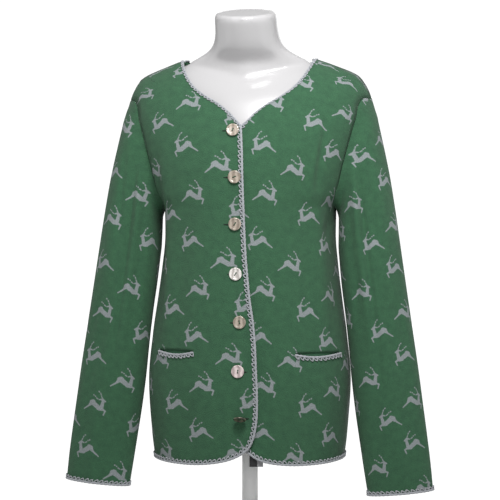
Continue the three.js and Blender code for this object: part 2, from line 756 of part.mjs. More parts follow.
// The bag behind the slit, pressed flat against the front's inner face, on the cells around it.
function pocketBag(panel, pocket) {
  const middleX = (i, j) => (panel.outer[j][i].x + panel.outer[j + 1][i + 1].x) / 2;
  const middleZ = (i, j) => (panel.outer[j][i].z + panel.outer[j + 1][i + 1].z) / 2;
  const wanted = (i, j) =>
    middleX(i, j) > pocket.fromX - POCKET_MARGIN &&
    middleX(i, j) < pocket.toX + POCKET_MARGIN &&
    middleZ(i, j) > pocket.z - POCKET_DEPTH &&
    middleZ(i, j) < pocket.z + 2 * POCKET_MARGIN;
  const face = -CLOTH - SEAM_GAP;
  return onPanel(panel, face - POCKET_BAG, face, wanted);
}

// The band sewn along the slit's lower lip.
function pocketBand(panel, pocket) {
  const row = (lift) =>
    [0, POCKET_BAND].map((below) =>
      pocketShares.map((share) => {
        const { psi, w } = locate(pocketX(pocket, share), lowerLip(pocket, share) - below);
        return cloth(panel, psi, w, lift);
      }),
    );
  return wallGeometry(row(BAND_GAP + EDGING_THICK), row(BAND_GAP));
}

// The blank label behind the lower front's rounded corner.
function labelGeometry(panel) {
  const steps = [0, 1, 2, 3];
  const grid = (lift) =>
    steps.map((j) =>
      steps.map((i) => {
        const x = LABEL.fromX + ((LABEL.toX - LABEL.fromX) * i) / 3;
        const { psi, w } = locate(x, LABEL.topZ + ((LABEL.lowZ - LABEL.topZ) * j) / 3);
        return cloth(panel, psi, w, lift);
      }),
    );
  const face = -CLOTH - 2 * SEAM_GAP;
  return wallGeometry(grid(face), grid(face - LABEL.thick));
}

// A dished two-hole button, its back on z = 0.
function buttonGeometry() {
  const sides = 18;
  const profile = [
    [0, 0],
    [BUTTON_FOOT, 0],
    [BUTTON_RADIUS, 1.2],
    [BUTTON_RADIUS - BUTTON_RIM, BUTTON_THICK],
    [BUTTON_RADIUS - 2.2, BUTTON_THICK],
    [BUTTON_RADIUS - 3.6, BUTTON_THICK - 0.7],
    [0, BUTTON_THICK - 0.7],
  ].map(([r, y]) => new THREE.Vector2(r, y));
  const disc = new THREE.LatheGeometry(profile, sides).rotateX(Math.PI / 2);
  let solid = solidOf(disc);
  for (const sign of [-1, 1]) {
    const hole = new THREE.CylinderGeometry(BUTTON_HOLE, BUTTON_HOLE, 4 * BUTTON_THICK, 8);
    hole.rotateX(Math.PI / 2).translate(sign * BUTTON_HOLE_SPREAD, 0, 0);
    solid = solid.subtract(solidOf(hole));
  }
  return geometryOf(solid);
}

// Turns and places a button on the upper front.
function seatButton(mesh, panel, row) {
  const { psi, w } = locate(row.x, row.z);
  const tip = THREE.MathUtils.degToRad(row.tip);
  const lift = BUTTON_SEAT[row.on] + BUTTON_FOOT * Math.sin(tip);
  const normal = outward('front', psi, w);
  const facing = normal.clone().applyAxisAngle(new THREE.Vector3(1, 0, 0), tip);
  mesh.quaternion.setFromUnitVectors(new THREE.Vector3(0, 0, 1), facing);
  mesh.rotateZ(THREE.MathUtils.degToRad(row.turn));
  mesh.position.copy(cloth(panel, psi, w, lift));
}

// Dress form
function formRing(w, last) {
  const halfCount = 12;
  const high = 2 * QUARTER;
  const level = SHOULDER_TOP - fall(w).height;
  const inset = read(FORM_CLEARANCE, 'level', 'inset', level);
  const row = (side) =>
    Array.from({ length: halfCount + 1 }, (_, i) => {
      const psi = -Math.PI / 2 + (Math.PI * i) / halfCount;
      const bare = skin(side, psi, w);
      const rounding = SHOULDER_ROUNDING[side] * smooth(SHOULDER_FROM, STUB_END, Math.abs(bare.x)) * (1 - w / high);
      const point = bare.addScaledVector(outward(side, psi, w), -inset - Math.max(0, rounding));
      const share = Math.max(-1, Math.min(1, point.x / STUB_END));
      point.y += (side === 'front' ? 1 : -1) * (SEAM_GAP / 2);
      return new THREE.Vector3(share * STUB_END, point.y, last ? FORM_BOTTOM : point.z);
    });
  return [...row('front').slice(0, -1), ...row('back').reverse().slice(0, -1)];
}

function formGeometry() {
  const depth = QUARTER + SHOULDER_TOP - SHOULDER_FALL - FORM_BOTTOM;
  const rings = FORM_STEPS.map((share) => formRing(share * depth, share === 1));
  const torso = solidOf(stackGeometry(rings));
  const neck = stackGeometry(
    NECK.map((row) => {
      const tilt = THREE.MathUtils.degToRad(row.tilt);
      return Array.from({ length: NECK_SIDES }, (_, i) => {
        const turn = (2 * Math.PI * i) / NECK_SIDES;
        const sum = Math.abs(Math.cos(turn)) ** row.power + Math.abs(Math.sin(turn)) ** row.power;
        const ray = sum ** (-1 / row.power);
        const forward = row.deep * ray * Math.sin(turn);
        return new THREE.Vector3(
          row.wide * ray * Math.cos(turn),
          row.y + forward * Math.cos(tilt),
          row.z + forward * Math.sin(tilt),
        );
      });
    }),
  );
  return geometryOf(torso.add(solidOf(neck)));
}

function baseGeometry() {
  const bore = POLE_RADIUS + SEAM_GAP;
  const floor = BASE_THICK / 2;
  const profile = [
    [0, 0],
    [BASE_RADIUS - BASE_EDGE, 0],
    [BASE_RADIUS, BASE_EDGE],
    [BASE_RADIUS, BASE_THICK - BASE_EDGE],
    [BASE_RADIUS - BASE_EDGE, BASE_THICK],
    [SOCKET_RADIUS, BASE_THICK],
    [SOCKET_RADIUS, SOCKET_HEIGHT - BASE_EDGE],
    [SOCKET_RADIUS - BASE_EDGE, SOCKET_HEIGHT],
    [bore, SOCKET_HEIGHT],
    [bore, floor],
    [0, floor],
  ].map(([r, y]) => new THREE.Vector2(r, y));
  return new THREE.LatheGeometry(profile, BASE_SIDES).rotateX(Math.PI / 2);
}

function poleGeometry() {
  const low = BASE_THICK / 2 + SEAM_GAP;
  const high = FORM_BOTTOM - SEAM_GAP;
  const pole = new THREE.CylinderGeometry(POLE_RADIUS, POLE_RADIUS, high - low, POLE_SIDES);
  return pole.rotateX(Math.PI / 2).translate(0, 0, (high + low) / 2);
}

// Finishes
const finish = (color, roughness, metalness = 0) =>
  new THREE.MeshStandardMaterial({ color, roughness, metalness });
const WOOL = finish('#3d6b4c', 0.95);
const YARN = finish('#a5a8ad', 0.9);
const PEARL = finish('#c8bfb0', 0.3);
const RIBBON = finish('#2b2b2e', 0.7);
const GLOSS_WHITE = finish('#dedcde', 0.15);
const POLE_METAL = finish('#c9cacc', 0.3, 1);
const BASE_ENAMEL = finish('#e4e3e2', 0.4);

// Assembly
const cardigan = new THREE.Group();
const form = new THREE.Group();

function add(group, name, geometry, material) {
  const mesh = new THREE.Mesh(geometry, material);
  mesh.name = name;
  group.add(mesh);
  return mesh;
}

const back = backPanel();
const fronts = {
  right: frontPanel('front_right', UPPER_EDGE, UPPER_HEM, -1),
  left: frontPanel('front_left', LOWER_EDGE, LOWER_HEM, 1),
};
const panelWall = (panel) => wallGeometry(panel.outer, panel.inner);
add(cardigan, 'back', panelWall(back), WOOL);

for (const side of ['right', 'left']) {
  const panel = fronts[side];
  const sign = side === 'left' ? 1 : -1;
  const pocket = POCKETS.find((row) => row.side === side);
  const cut = solidOf(panelWall(panel)).subtract(solidOf(slitCutter(pocket)));
  add(cardigan, panel.name, geometryOf(cut), WOOL);
  add(cardigan, `sleeve_${side}`, sleeveGeometry(panel, back, sign, SLEEVE_HANG[side]), WOOL);
  add(cardigan, `pocket_bag_${side}`, pocketBag(panel, pocket), WOOL);
  add(cardigan, `edging_pocket_${side}`, pocketBand(panel, pocket), YARN);
  add(cardigan, `edging_cuff_${side}`, cuffEdging(sign, SLEEVE_HANG[side]), YARN);
  const border = onEdging(panel, (i, j) => i === 0 || j === 0);
  add(cardigan, `edging_front_${side}`, border, YARN);
}

const neckRow = back.outer.length - 2;
const isNeck = (i) => i >= SHOULDER_COLUMNS_BACK && i < COLUMNS_BACK - SHOULDER_COLUMNS_BACK;
add(cardigan, 'edging_back_neck', onEdging(back, (i, j) => j === neckRow && isNeck(i)), YARN);
add(cardigan, 'edging_back_hem', onEdging(back, (i, j) => j === 0), YARN);

BUTTONS.forEach((row, k) => {
  seatButton(add(cardigan, `button_${k + 1}`, buttonGeometry(), PEARL), fronts.right, row);
});
add(cardigan, 'care_label', labelGeometry(fronts.left), RIBBON);

add(form, 'form_torso', formGeometry(), GLOSS_WHITE);
add(form, 'form_pole', poleGeometry(), POLE_METAL);
add(form, 'form_base', baseGeometry(), BASE_ENAMEL);

const group = new THREE.Group();
group.add(cardigan, form);

export default group;
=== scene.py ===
"""A buttoned cardigan of felted jacquard knit on a limbless dress form, dressed for its look.

Sizes are millimetres until a mesh is made, when they become metres. +Z is up, the front faces -Y and
the wearer's left is +X. The body cloth is one formula in two parameters: psi, the angle round the
body from the centre line to the side seam, and w, the way down from the shoulder ridge.
"""

import logging
import math
from collections.abc import Sequence
from dataclasses import dataclass, replace
from enum import Enum

import bpy
import numpy as np
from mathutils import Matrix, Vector


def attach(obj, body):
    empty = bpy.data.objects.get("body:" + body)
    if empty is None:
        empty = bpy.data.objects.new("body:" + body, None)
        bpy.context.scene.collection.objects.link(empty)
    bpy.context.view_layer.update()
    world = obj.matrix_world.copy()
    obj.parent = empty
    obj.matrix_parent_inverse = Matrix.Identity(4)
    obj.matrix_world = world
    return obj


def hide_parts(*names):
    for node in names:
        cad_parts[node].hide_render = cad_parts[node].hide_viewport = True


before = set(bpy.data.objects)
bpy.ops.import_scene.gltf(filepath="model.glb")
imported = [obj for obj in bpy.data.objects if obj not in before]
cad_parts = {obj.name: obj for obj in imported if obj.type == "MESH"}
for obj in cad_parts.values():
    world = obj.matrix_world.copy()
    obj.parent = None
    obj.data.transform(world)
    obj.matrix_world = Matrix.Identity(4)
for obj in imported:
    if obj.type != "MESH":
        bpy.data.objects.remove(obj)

log = logging.getLogger("cardigan")

MM = 0.001
CUT_UNIT = 100.0
BODY_NAME = "root"

# Driving sizes
CLOTH = 2.0
SEAM_GAP = 0.3
SLEEVE_GAP = 0.55
TURN_RISE = 1.6
TURN_OUT = 1.7
SHOULDER_TOP = 757.0
SHOULDER_FALL = 150.0
SHOULDER_BLEND = 330.0
SECTION_POWER = 2.4
HEM_SIDE = 125.0
HEM_BACK = 123.0
UNDERARM = 516.0
OVERLAP_LIFT = 4.6
OVERLAP_FULL = -38.0
OVERLAP_END = -105.0
RIGHT_ANGLE = math.pi / 2
QUARTER = SHOULDER_FALL * RIGHT_ANGLE
BEYOND_SIDE = 200.0
GRAIN_WAIST = 400.0

# Rows and columns of the cloth's grids
COLUMNS_FRONT = 96
COLUMNS_BACK = 176
SHOULDER_COLUMNS_BACK = 48
ROWS_SIDE = 112
ROWS_ARMHOLE = 96
EDGE_ROWS = 144
NECK_ROWS = ROWS_SIDE + ROWS_ARMHOLE - EDGE_ROWS
RELAXED_ROWS = 32
RELAXED_ROUNDS = 400

# How fine and how even curves are
TINY = 1e-9
FURTHEST_DOWN = 900.0
HALVINGS = 50
CURVE_STEPS = 60
SECTION_STEPS = 48
PROBE_TURN = 0.004
PROBE_STEP = 0.8
FOLD_FADE = 8

# Sewing: the seam round the armhole and the sleeve's head, which is eased into it
SEAM_DIP = 1.5
SEAM_DIP_COLUMNS = 1.7
SEAM_DIP_ROWS = 12
HEAD_EASE = 1.3
HEAD_ROUND = 0.7
HEAD_STEPS = 16
HEAD_LEAVE = 0.75
HEAD_OUT = 0.3
HEAD_RING = 0.06
TURNED_FROM = 0.6
TURNED_OVER = 1.2
SLEEVE_STEPS = 96
WELD_REACH = 0.01

# Yarn of the edgings and of the sewing
PLIES = 2
PLY_STEPS = 5
PLY_RELIEF = 0.12
CORD_SIDES = 10
YARN_SIDES = 7
CORD_STEP = 1.3
LOOP_STEP = 2.0
LOOP_POINTS = 13
LOOP_FROM = 0.05
LOOP_SHARE = 0.92
LOOP_ROUND = 0.8
LOOP_ABOVE = 0.35
LOOP_RISE = 0.55
UNEVEN = 0.06
UNEVEN_TURN = 2.399
FEWEST_STEPS = 8
LIP_POINTS = 40
LIP_INSIDE = 3.0

# Size of the edging along the neck, and the heights between which it changes
NECK_SIZE = 0.62
NECK_SIZES = {"front_right": 0.62, "front_left": 0.34}
NECK_LOW = (646.0, 654.0)
NECK_HIGH = (690.0, 715.0)

# Pocket mouths, their bags and the label
POCKET_SLIT = 1.2
POCKET_LIFT = 0.9
POCKET_BAG_DEPTH = 105.0
POCKET_MARGIN = 8.0
POCKET_BLEND = 10
BAG_THICK = 1.6
BAG_COLUMNS = 31
BAG_ROWS = 41
LABEL_FROM = 14.0
LABEL_TO = 35.0
LABEL_TOP = 150.0
LABEL_LOW = 120.0
LABEL_BLACK = 12.0
LABEL_THICK = 0.9
LABEL_COLUMNS = 15
LABEL_ROWS = 19
LABEL_WAVE = 0.3
LABEL_CURL = 0.5

Array = np.ndarray
Solid = tuple[Array, list[list[int]]]
Outline = Sequence[tuple[float, float]]
Spot = tuple[float, float, float]
Piece = bpy.types.Object
Material = bpy.types.Material
Tree = bpy.types.NodeTree
Node = bpy.types.Node
Socket = bpy.types.NodeSocket
Link = Socket | float | tuple


class Hand(Enum):
    """A side of the garment, as its wearer has it."""

    RIGHT = "right"
    LEFT = "left"


class Side(Enum):
    """Which half of the body a panel covers."""

    FRONT = "front"
    BACK = "back"


def cubic(s: Array, rise: Array, start: Array, end: Array) -> Array:
    """How far a cubic has risen at share s, from its whole rise and its slopes at both ends."""
    return s * (start + s * (3 * rise - 2 * start - end + s * (start + end - 2 * rise)))


class Table:
    """A short table of sizes, read smoothly between its rows.

    Between two rows the value is a cubic. Its slope at a row is the harmonic mean of the slopes on
    both sides, or zero where they differ in sign, so it never swings past a row.
    """

    def __init__(self, names: str, rows: Sequence[Sequence[float]]) -> None:
        self._values = np.array(rows, dtype=float)
        self._columns = {name: k for k, name in enumerate(names.split())}

    def read(self, name: str, at: Array | float) -> Array:
        """The smooth value of a column at places along the first column."""
        keys = self._values[:, 0]
        values = self._values[:, self._columns[name]]
        slopes = np.diff(values) / np.diff(keys)
        before = slopes[:-1]
        after = slopes[1:]
        product = before * after
        total = np.where(product > 0, before + after, 1.0)
        inner = np.where(product > 0, 2 * product / total, 0.0)
        tangents = np.concatenate([slopes[:1], inner, slopes[-1:]])
        place = np.clip(at, keys[0], keys[-1])
        k = np.clip(np.searchsorted(keys, place, side="right") - 1, 0, len(keys) - 2)
        span = keys[k + 1] - keys[k]
        s = (place - keys[k]) / span
        rise = values[k + 1] - values[k]
        return values[k] + cubic(s, rise, tangents[k] * span, tangents[k + 1] * span)


BODY = Table(
    "level half front back",
    [
        (110, 149, 115, 109),
        (165, 156, 117, 112),
        (245, 161, 120, 115),
        (320, 155, 119, 110),
        (375, 148, 117, 102),
        (430, 141.5, 115, 95),
        (480, 137.5, 114, 92),
        (516, 138, 115, 94),
        (540, 149, 116, 97),
        (570, 158, 116, 99),
        (600, 166, 113, 100),
        (640, 177, 107, 98),
        (680, 188, 102, 93),
        (720, 195, 99, 86),
        (757, 195, 97, 80),
    ],
)
RIDGE_ROWS = [
    (0, 0),
    (98, 0),
    (111, 1.5),
    (124, 6),
    (137, 11),
    (150, 16),
    (163, 21.5),
    (175, 28.5),
    (184, 40),
    (190, 51),
    (195, 64),
]
RIDGE = Table("out drop", RIDGE_ROWS)

# Outlines in the front view, as x and z
NECKLINE = [(105, 756), (99, 741), (89, 722), (75, 705), (56, 690.5), (37, 679), (20, 665.5), (6, 651)]
UPPER_EDGE = [
    (1.5, 643),
    (4, 607),
    (6.5, 530),
    (9.5, 453),
    (12.5, 416),
    (16.5, 377),
    (21.5, 343),
    (24.5, 312),
    (26.5, 269),
    (28, 223),
    (26.8, 190),
    (23, 167),
]
UPPER_HEM = [(16, 151), (6, 141), (-14.6, 130.5), (-44, 124), (-80, 121), (-120, 122)]
LOWER_EDGE = [
    (-8, 640),
    (-17, 630),
    (-21.5, 617),
    (-22, 560),
    (-22, 490),
    (-20, 416),
    (-15, 343),
    (-16, 267),
    (-14, 196),
    (-10, 168),
]
LOWER_HEM = [(-2, 153), (11.5, 141), (24, 132), (40, 126), (76, 121.5), (120, 122)]
ARMHOLE = [
    (137.5, 524),
    (141, 537),
    (146, 554),
    (150, 572),
    (155, 592),
    (160, 610),
    (167, 636),
    (174, 661),
    (177, 680),
    (184, 692),
]
ARMHOLE_BACK = [
    (137, 526),
    (141, 545),
    (147, 570),
    (153, 595),
    (160, 622),
    (168, 652),
    (175, 677),
    (184, 692),
]
BACK_NECK = [(0, 737), (30, 738.5), (60, 743), (85, 749.5)]
UNDERARM_POINT = (138, UNDERARM)
TIP_POINT = (195, SHOULDER_TOP - 64)

# Rings of a sleeve below its armhole, and soft troughs along it
SLEEVE = Table(
    "ring out_x out_z in_x in_z y deep",
    [
        (1, 205, 658, 142.5, 503, 0, 52),
        (2, 214, 618, 142.5, 484, -3, 52),
        (3, 224, 570, 142.5, 463, -7, 50),
        (4, 233.5, 512, 144.5, 436, -11, 47),
        (5, 243, 447, 148, 401, -15, 44),
        (6, 252.5, 382, 154, 355, -18, 41),
        (7, 261.5, 322, 159.8, 303, -20, 39),
        (8, 269.5, 268, 164.5, 252, -22, 37),
        (9, 276, 220, 170, 206, -24, 35),
        (10, 282.5, 172, 176.8, 160, -26, 32),
        (11, 288.5, 124, 184, 113, -28, 29),
        (12, 292.5, 83, 190.5, 73, -29, 27),
    ],
)
SLEEVE_RINGS = 12


@dataclass(frozen=True)
class Fold:
    """A long soft fold of a panel: its middle line from top to bottom, its height and half its width."""

    side: Side
    x: float
    top: float
    end_x: float
    end: float
    height: float
    reach: float


@dataclass(frozen=True)
class SleeveFold:
    """A soft trough round a sleeve, at an angle from its outer side forwards, between two rings."""

    angle: float
    start: float
    end: float
    depth: float
    reach: float
    lean: float = 0.0


FOLDS = [
    Fold(Side.FRONT, 112, 560, 132, 330, 4.5, 15),
    Fold(Side.FRONT, 129, 560, 146, 300, -4.5, 13),
    Fold(Side.FRONT, 96, 520, 108, 250, -2.5, 17),
    Fold(Side.FRONT, -110, 565, -128, 300, 4.5, 15),
    Fold(Side.FRONT, -127, 565, -141, 290, -5, 13),
    Fold(Side.FRONT, -92, 500, -112, 230, -2.2, 18),
    Fold(Side.BACK, 104, 530, 126, 250, 3.5, 17),
    Fold(Side.BACK, 121, 520, 142, 260, -4, 15),
    Fold(Side.BACK, -107, 525, -124, 280, 3.5, 17),
    Fold(Side.BACK, -123, 515, -140, 230, -4, 15),
    Fold(Side.BACK, 34, 470, 46, 150, -4, 24),
    Fold(Side.BACK, -30, 450, -44, 140, -4.5, 24),
    Fold(Side.BACK, 2, 440, -4, 130, 3.5, 22),
]

# Smaller creases that only the look needs
CREASES = [
    Fold(Side.FRONT, 131, 668, 113, 530, -3.2, 5),
    Fold(Side.FRONT, 120, 650, 103, 520, 2.2, 6),
    Fold(Side.FRONT, 138, 520, 125, 462, -3, 7),
    Fold(Side.FRONT, 70, 600, 92, 470, -1.2, 12),
    Fold(Side.FRONT, 52, 420, 74, 300, -1.3, 13),
    Fold(Side.FRONT, 30, 300, 46, 160, -1.4, 12),
    Fold(Side.FRONT, 98, 260, 104, 118, -1.7, 14),
    Fold(Side.FRONT, 126, 270, 132, 116, 1.8, 12),
    Fold(Side.FRONT, -138, 622, -134, 380, -3.2, 5),
    Fold(Side.FRONT, -126, 600, -121, 420, 2.4, 6),
    Fold(Side.FRONT, -66, 610, -84, 480, -1.2, 13),
    Fold(Side.FRONT, -48, 400, -66, 250, -1.5, 14),
    Fold(Side.FRONT, -28, 260, -38, 118, 1.3, 13),
    Fold(Side.FRONT, -84, 240, -78, 116, -1.8, 14),
    Fold(Side.FRONT, -120, 260, -122, 116, 1.8, 12),
    Fold(Side.FRONT, -14, 560, -30, 500, -1.0, 9),
    Fold(Side.FRONT, -12, 460, -34, 410, 0.9, 8),
    Fold(Side.BACK, 70, 640, 92, 500, -1.6, 12),
    Fold(Side.BACK, -64, 640, -90, 480, -1.6, 12),
    Fold(Side.BACK, 14, 700, 24, 560, 1.2, 15),
    Fold(Side.BACK, 80, 300, 88, 116, 1.8, 14),
    Fold(Side.BACK, -84, 300, -92, 116, 1.8, 14),
]
SLEEVE_FOLDS = [
    SleeveFold(84, 0, 6, 6, 17),
    SleeveFold(118, 1, 8, 4, 16),
    SleeveFold(52, 5, 12, 3, 18),
    SleeveFold(262, 0, 7, 6, 18),
    SleeveFold(298, 4, 12, 3.5, 17),
    SleeveFold(92, 0.3, 9, 4.4, 6, 4),
    SleeveFold(107, 0.3, 8, -2.4, 8, 3),
    SleeveFold(66, 1, 5, 3.2, 7, 9),
    SleeveFold(48, 5.5, 7.5, 2.6, 9, -18),
    SleeveFold(120, 4.5, 6.5, 2.8, 8, 16),
    SleeveFold(100, 0.5, 4, -2.2, 9, 6),
    SleeveFold(70, 5, 8.5, 2.2, 9, -14),
    SleeveFold(110, 7, 11, 2.4, 10, 12),
    SleeveFold(35, 3, 7, 1.6, 9, 8),
    SleeveFold(30, 9, 12.5, 1.8, 12, -6),
    SleeveFold(80, 9.5, 12.8, -1.8, 10, 6),
    SleeveFold(250, 6, 11, 2.2, 10, 12),
    SleeveFold(285, 1, 5, 2.2, 9, -8),
]


def smooth(low: float, high: float, at: Array | float) -> Array:
    """Zero below low, one above high and a soft step between them."""
    share = np.clip((np.asarray(at, dtype=float) - low) / (high - low), 0.0, 1.0)
    return share * share * (3 - 2 * share)


def unit(vectors: Array) -> Array:
    """Vectors of length one in the same directions."""
    return vectors / np.maximum(np.linalg.norm(vectors, axis=-1, keepdims=True), TINY)


def square_to(given: Array, way: Array) -> Array:
    """Vectors without their part along others of length one."""
    return given - np.sum(given * way, axis=-1, keepdims=True) * way


def vectors(x: Array, y: Array, z: Array) -> Array:
    """Points from their three coordinates, which may have different shapes."""
    return np.stack(np.broadcast_arrays(x, y, z), axis=-1).astype(float)


def fall(w: Array) -> tuple[Array, Array]:
    """Height lost and share of the depth gained w down from the ridge.

    A quarter ellipse over the shoulder, then straight down.
    """
    angle = np.clip(w / QUARTER, -1, 1) * RIGHT_ANGLE
    return SHOULDER_FALL * (1 - np.cos(angle)) + np.maximum(0, w - QUARTER), np.sin(angle)


def ridge_share(w: Array) -> Array:
    """How much of the ridge's drop still shows w down from it."""
    return 1 - smooth(0, SHOULDER_BLEND, np.abs(w))


def ray_length(psi: Array) -> Array:
    """Distance from the middle of the unit section, a rounded oblong, to its edge at angle psi."""
    total = np.abs(np.cos(psi)) ** SECTION_POWER + np.abs(np.sin(psi)) ** SECTION_POWER
    return total ** (-1 / SECTION_POWER)


def skin(side: Side, psi: Array, w: Array) -> Array:
    """Points of the body cloth's outer face before folds.

    The section at each level is the rounded oblong, scaled to the table's half width and depth. Near
    the shoulder the depth follows the quarter ellipse and the ridge's drop lowers the ends.
    """
    height, depth = fall(w)
    level = SHOULDER_TOP - height
    ray = ray_length(psi)
    x = BODY.read("half", level) * ray * np.sin(psi)
    out = BODY.read(side.value, level) * depth * ray * np.cos(psi) + SEAM_GAP / 2
    z = level - RIDGE.read("drop", np.abs(x)) * ridge_share(w)
    return vectors(x, -out if side is Side.FRONT else out, z)


def outward(side: Side, psi: Array, w: Array) -> Array:
    """Directions out of the cloth there, from small steps along both parameters."""
    turn = PROBE_TURN
    step = PROBE_STEP
    across = skin(side, psi + turn, w) - skin(side, psi - turn, w)
    down = skin(side, psi, w + step) - skin(side, psi, w - step)
    normal = unit(np.cross(down, across))
    return normal if side is Side.FRONT else -normal


def fold_height(side: Side, points: Array, psi: Array) -> Array:
    """How far folds and creases lift a panel's cloth.

    Each is a half sine along its middle line and a bell across it. They die out at the side seams.
    """
    x = points[..., 0]
    z = points[..., 2]
    height = np.zeros_like(x)
    for fold in FOLDS + CREASES:
        if fold.side is not side:
            continue
        along = (fold.top - z) / (fold.top - fold.end)
        middle = fold.x + (fold.end_x - fold.x) * along
        bell = np.exp(-(((x - middle) / fold.reach) ** 2))
        height += np.where((along > 0) & (along < 1), fold.height * np.sin(np.pi * along) * bell, 0)
    return height * (1 - np.abs(psi / RIGHT_ANGLE) ** FOLD_FADE)


def locate(points: Outline | Array) -> Array:
    """Parameters of the points that the front view shows at x, z, found by halving."""
    x, z = np.array(points, dtype=float).T
    low = np.zeros_like(x)
    high = np.full_like(x, FURTHEST_DOWN)
    for _ in range(HALVINGS):
        middle = (low + high) / 2
        height = SHOULDER_TOP - fall(middle)[0] - RIDGE.read("drop", np.abs(x)) * ridge_share(middle)
        above = height > z
        low = np.where(above, middle, low)
        high = np.where(above, high, middle)
    w = (low + high) / 2
    share = np.minimum(1, np.abs(x) / BODY.read("half", SHOULDER_TOP - fall(w)[0]))
    psi = np.arctan2(share, (1 - share**SECTION_POWER) ** (1 / SECTION_POWER))
    return np.stack([np.sign(x) * psi, w], axis=-1)


def outline(points: Outline, segments: int) -> Array:
    """Evenly spaced parameters along a smooth line through front-view points.

    The line is a centripetal Catmull-Rom curve, carried on straight past both ends.
    """
    given = np.array(points, dtype=float)
    knots = np.vstack([2 * given[0] - given[1], given, 2 * given[-1] - given[-2]])
    gaps = np.sqrt(np.linalg.norm(np.diff(knots, axis=0), axis=1))[:, None]
    before, here, after, beyond = knots[:-3], knots[1:-2], knots[2:-1], knots[3:]
    first, middle, last = gaps[:-2], gaps[1:-1], gaps[2:]
    start = ((here - before) / first - (after - before) / (first + middle)) * middle + after - here
    end = ((beyond - after) / last - (beyond - here) / (middle + last)) * middle + after - here
    s = np.linspace(0, 1, CURVE_STEPS, endpoint=False)[:, None, None]
    curve = here + cubic(s, after - here, start, end)
    line = np.vstack([curve.transpose(1, 0, 2).reshape(-1, 2), given[-1:]])
    return locate(resample(line, segments))


def travelled(line: Array) -> Array:
    """Distance along a polyline from its start to each of its points."""
    return np.concatenate([[0], np.cumsum(np.linalg.norm(np.diff(line, axis=0), axis=1))])


def read_along(wanted: Array, length: Array, rows: Array) -> Array:
    """Rows of values between those given at lengths along a line."""
    return np.stack([np.interp(wanted, length, column) for column in rows.T], axis=-1)


def resample(line: Array, segments: int) -> Array:
    """Points evenly spaced along a polyline, its ends included."""
    length = travelled(line)
    return read_along(np.linspace(0, length[-1], segments + 1), length, line)


def mirrored(points: Outline) -> Outline:
    """The same outline on the other side of the body."""
    return [(-x, z) for x, z in points]


def patch(bottom: Array, top: Array, start: Array, end: Array) -> Array:
    """A grid of parameters between four outlines, blended so that it meets all four."""
    u = np.linspace(0, 1, len(bottom))[None, :, None]
    v = np.linspace(0, 1, len(start))[:, None, None]
    low = (1 - u) * bottom[0] + u * bottom[-1]
    high = (1 - u) * top[0] + u * top[-1]
    corners = (1 - v) * low + v * high
    sides = (1 - u) * start[:, None] + u * end[:, None]
    return sides + (1 - v) * bottom[None] + v * top[None] - corners


def relaxed(grid: Array) -> Array:
    """A panel's grid evened out near the underarm, where its outline turns, so that no cell folds over."""
    grid = grid.copy()
    near = np.exp(-(((np.arange(len(grid)) - ROWS_SIDE) / RELAXED_ROWS) ** 2))[1:-1, None, None]
    for _ in range(RELAXED_ROUNDS):
        mean = (grid[:-2, 1:-1] + grid[2:, 1:-1] + grid[1:-1, :-2] + grid[1:-1, 2:]) / 4
        grid[1:-1, 1:-1] += near * (mean - grid[1:-1, 1:-1])
    return grid


def grid_faces(rows: int, columns: int, ring: bool = False) -> Array:
    """Four-cornered faces of a grid of points, in rows."""
    index = np.arange(rows * columns).reshape(rows, columns)
    if ring:
        index = np.concatenate([index, index[:, :1]], axis=1)
    corners = [index[:-1, :-1], index[:-1, 1:], index[1:, 1:], index[1:, :-1]]
    return np.stack(corners, axis=-1).reshape(-1, 4)


def crossed(x: Array, z: Array) -> Array:
    """Front-view points at every x and z, in rows of one z."""
    return np.stack(np.meshgrid(x, z), axis=-1).reshape(-1, 2)


def section_length(side: Side, psi: Array, w: Array) -> Array:
    """Length of cloth round the body from the centre line to each point, from many short steps."""
    turns = psi[..., None] * np.linspace(0, 1, SECTION_STEPS + 1)
    level = SHOULDER_TOP - fall(w)[0]
    half = BODY.read("half", level)[..., None]
    deep = (BODY.read(side.value, level) * fall(w)[1])[..., None]
    ray = ray_length(turns)
    x = half * ray * np.sin(turns)
    y = deep * ray * np.cos(turns)
    return np.sign(psi) * np.hypot(np.diff(x, axis=-1), np.diff(y, axis=-1)).sum(axis=-1)


# Meshes
def make_object(
    name: str, points: Array, faces: Sequence[Sequence[int]] | Array, cut: Array | None = None
) -> Piece:
    """A smooth-shaded object on the form's body, from points in millimetres.

    Args:
        name: Name of the piece.
        points: One row for each point.
        faces: Corners of each face, counter-clockwise from outside.
        cut: Place of each point on the flat cloth, in millimetres, for the knitted pattern.

    Returns:
        The object, which moves with the record's only body.
    """
    mesh = bpy.data.meshes.new(name)
    rows = faces.tolist() if isinstance(faces, np.ndarray) else faces
    mesh.from_pydata((points * MM).tolist(), [], rows)
    mesh.shade_smooth()
    if cut is not None:
        layer = mesh.uv_layers.new(name="cut")
        corners = np.empty(len(mesh.loops), dtype=np.int32)
        mesh.loops.foreach_get("vertex_index", corners)
        layer.data.foreach_set("uv", (cut[corners] / CUT_UNIT).ravel())
    mesh.validate()
    made = bpy.data.objects.new(name, mesh)
    bpy.context.scene.collection.objects.link(made)
    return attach(made, BODY_NAME)


def facing(points: Array, faces: Array, directions: Array) -> Array:
    """The same faces, turned over if most of them look against the given outward directions."""
    first, second, third = (points[faces[:, k]] for k in range(3))
    normal = np.cross(second - first, third - first)
    towards = np.sum(normal * directions[faces[:, 0]])
    return faces if towards > 0 else faces[:, ::-1]


def thicken(made: Piece, thickness: float) -> None:
    """Gives a shell its wall, inwards from the outer face."""
    wall = made.modifiers.new("wall", "SOLIDIFY")
    wall.thickness = thickness * MM
    wall.offset = -1


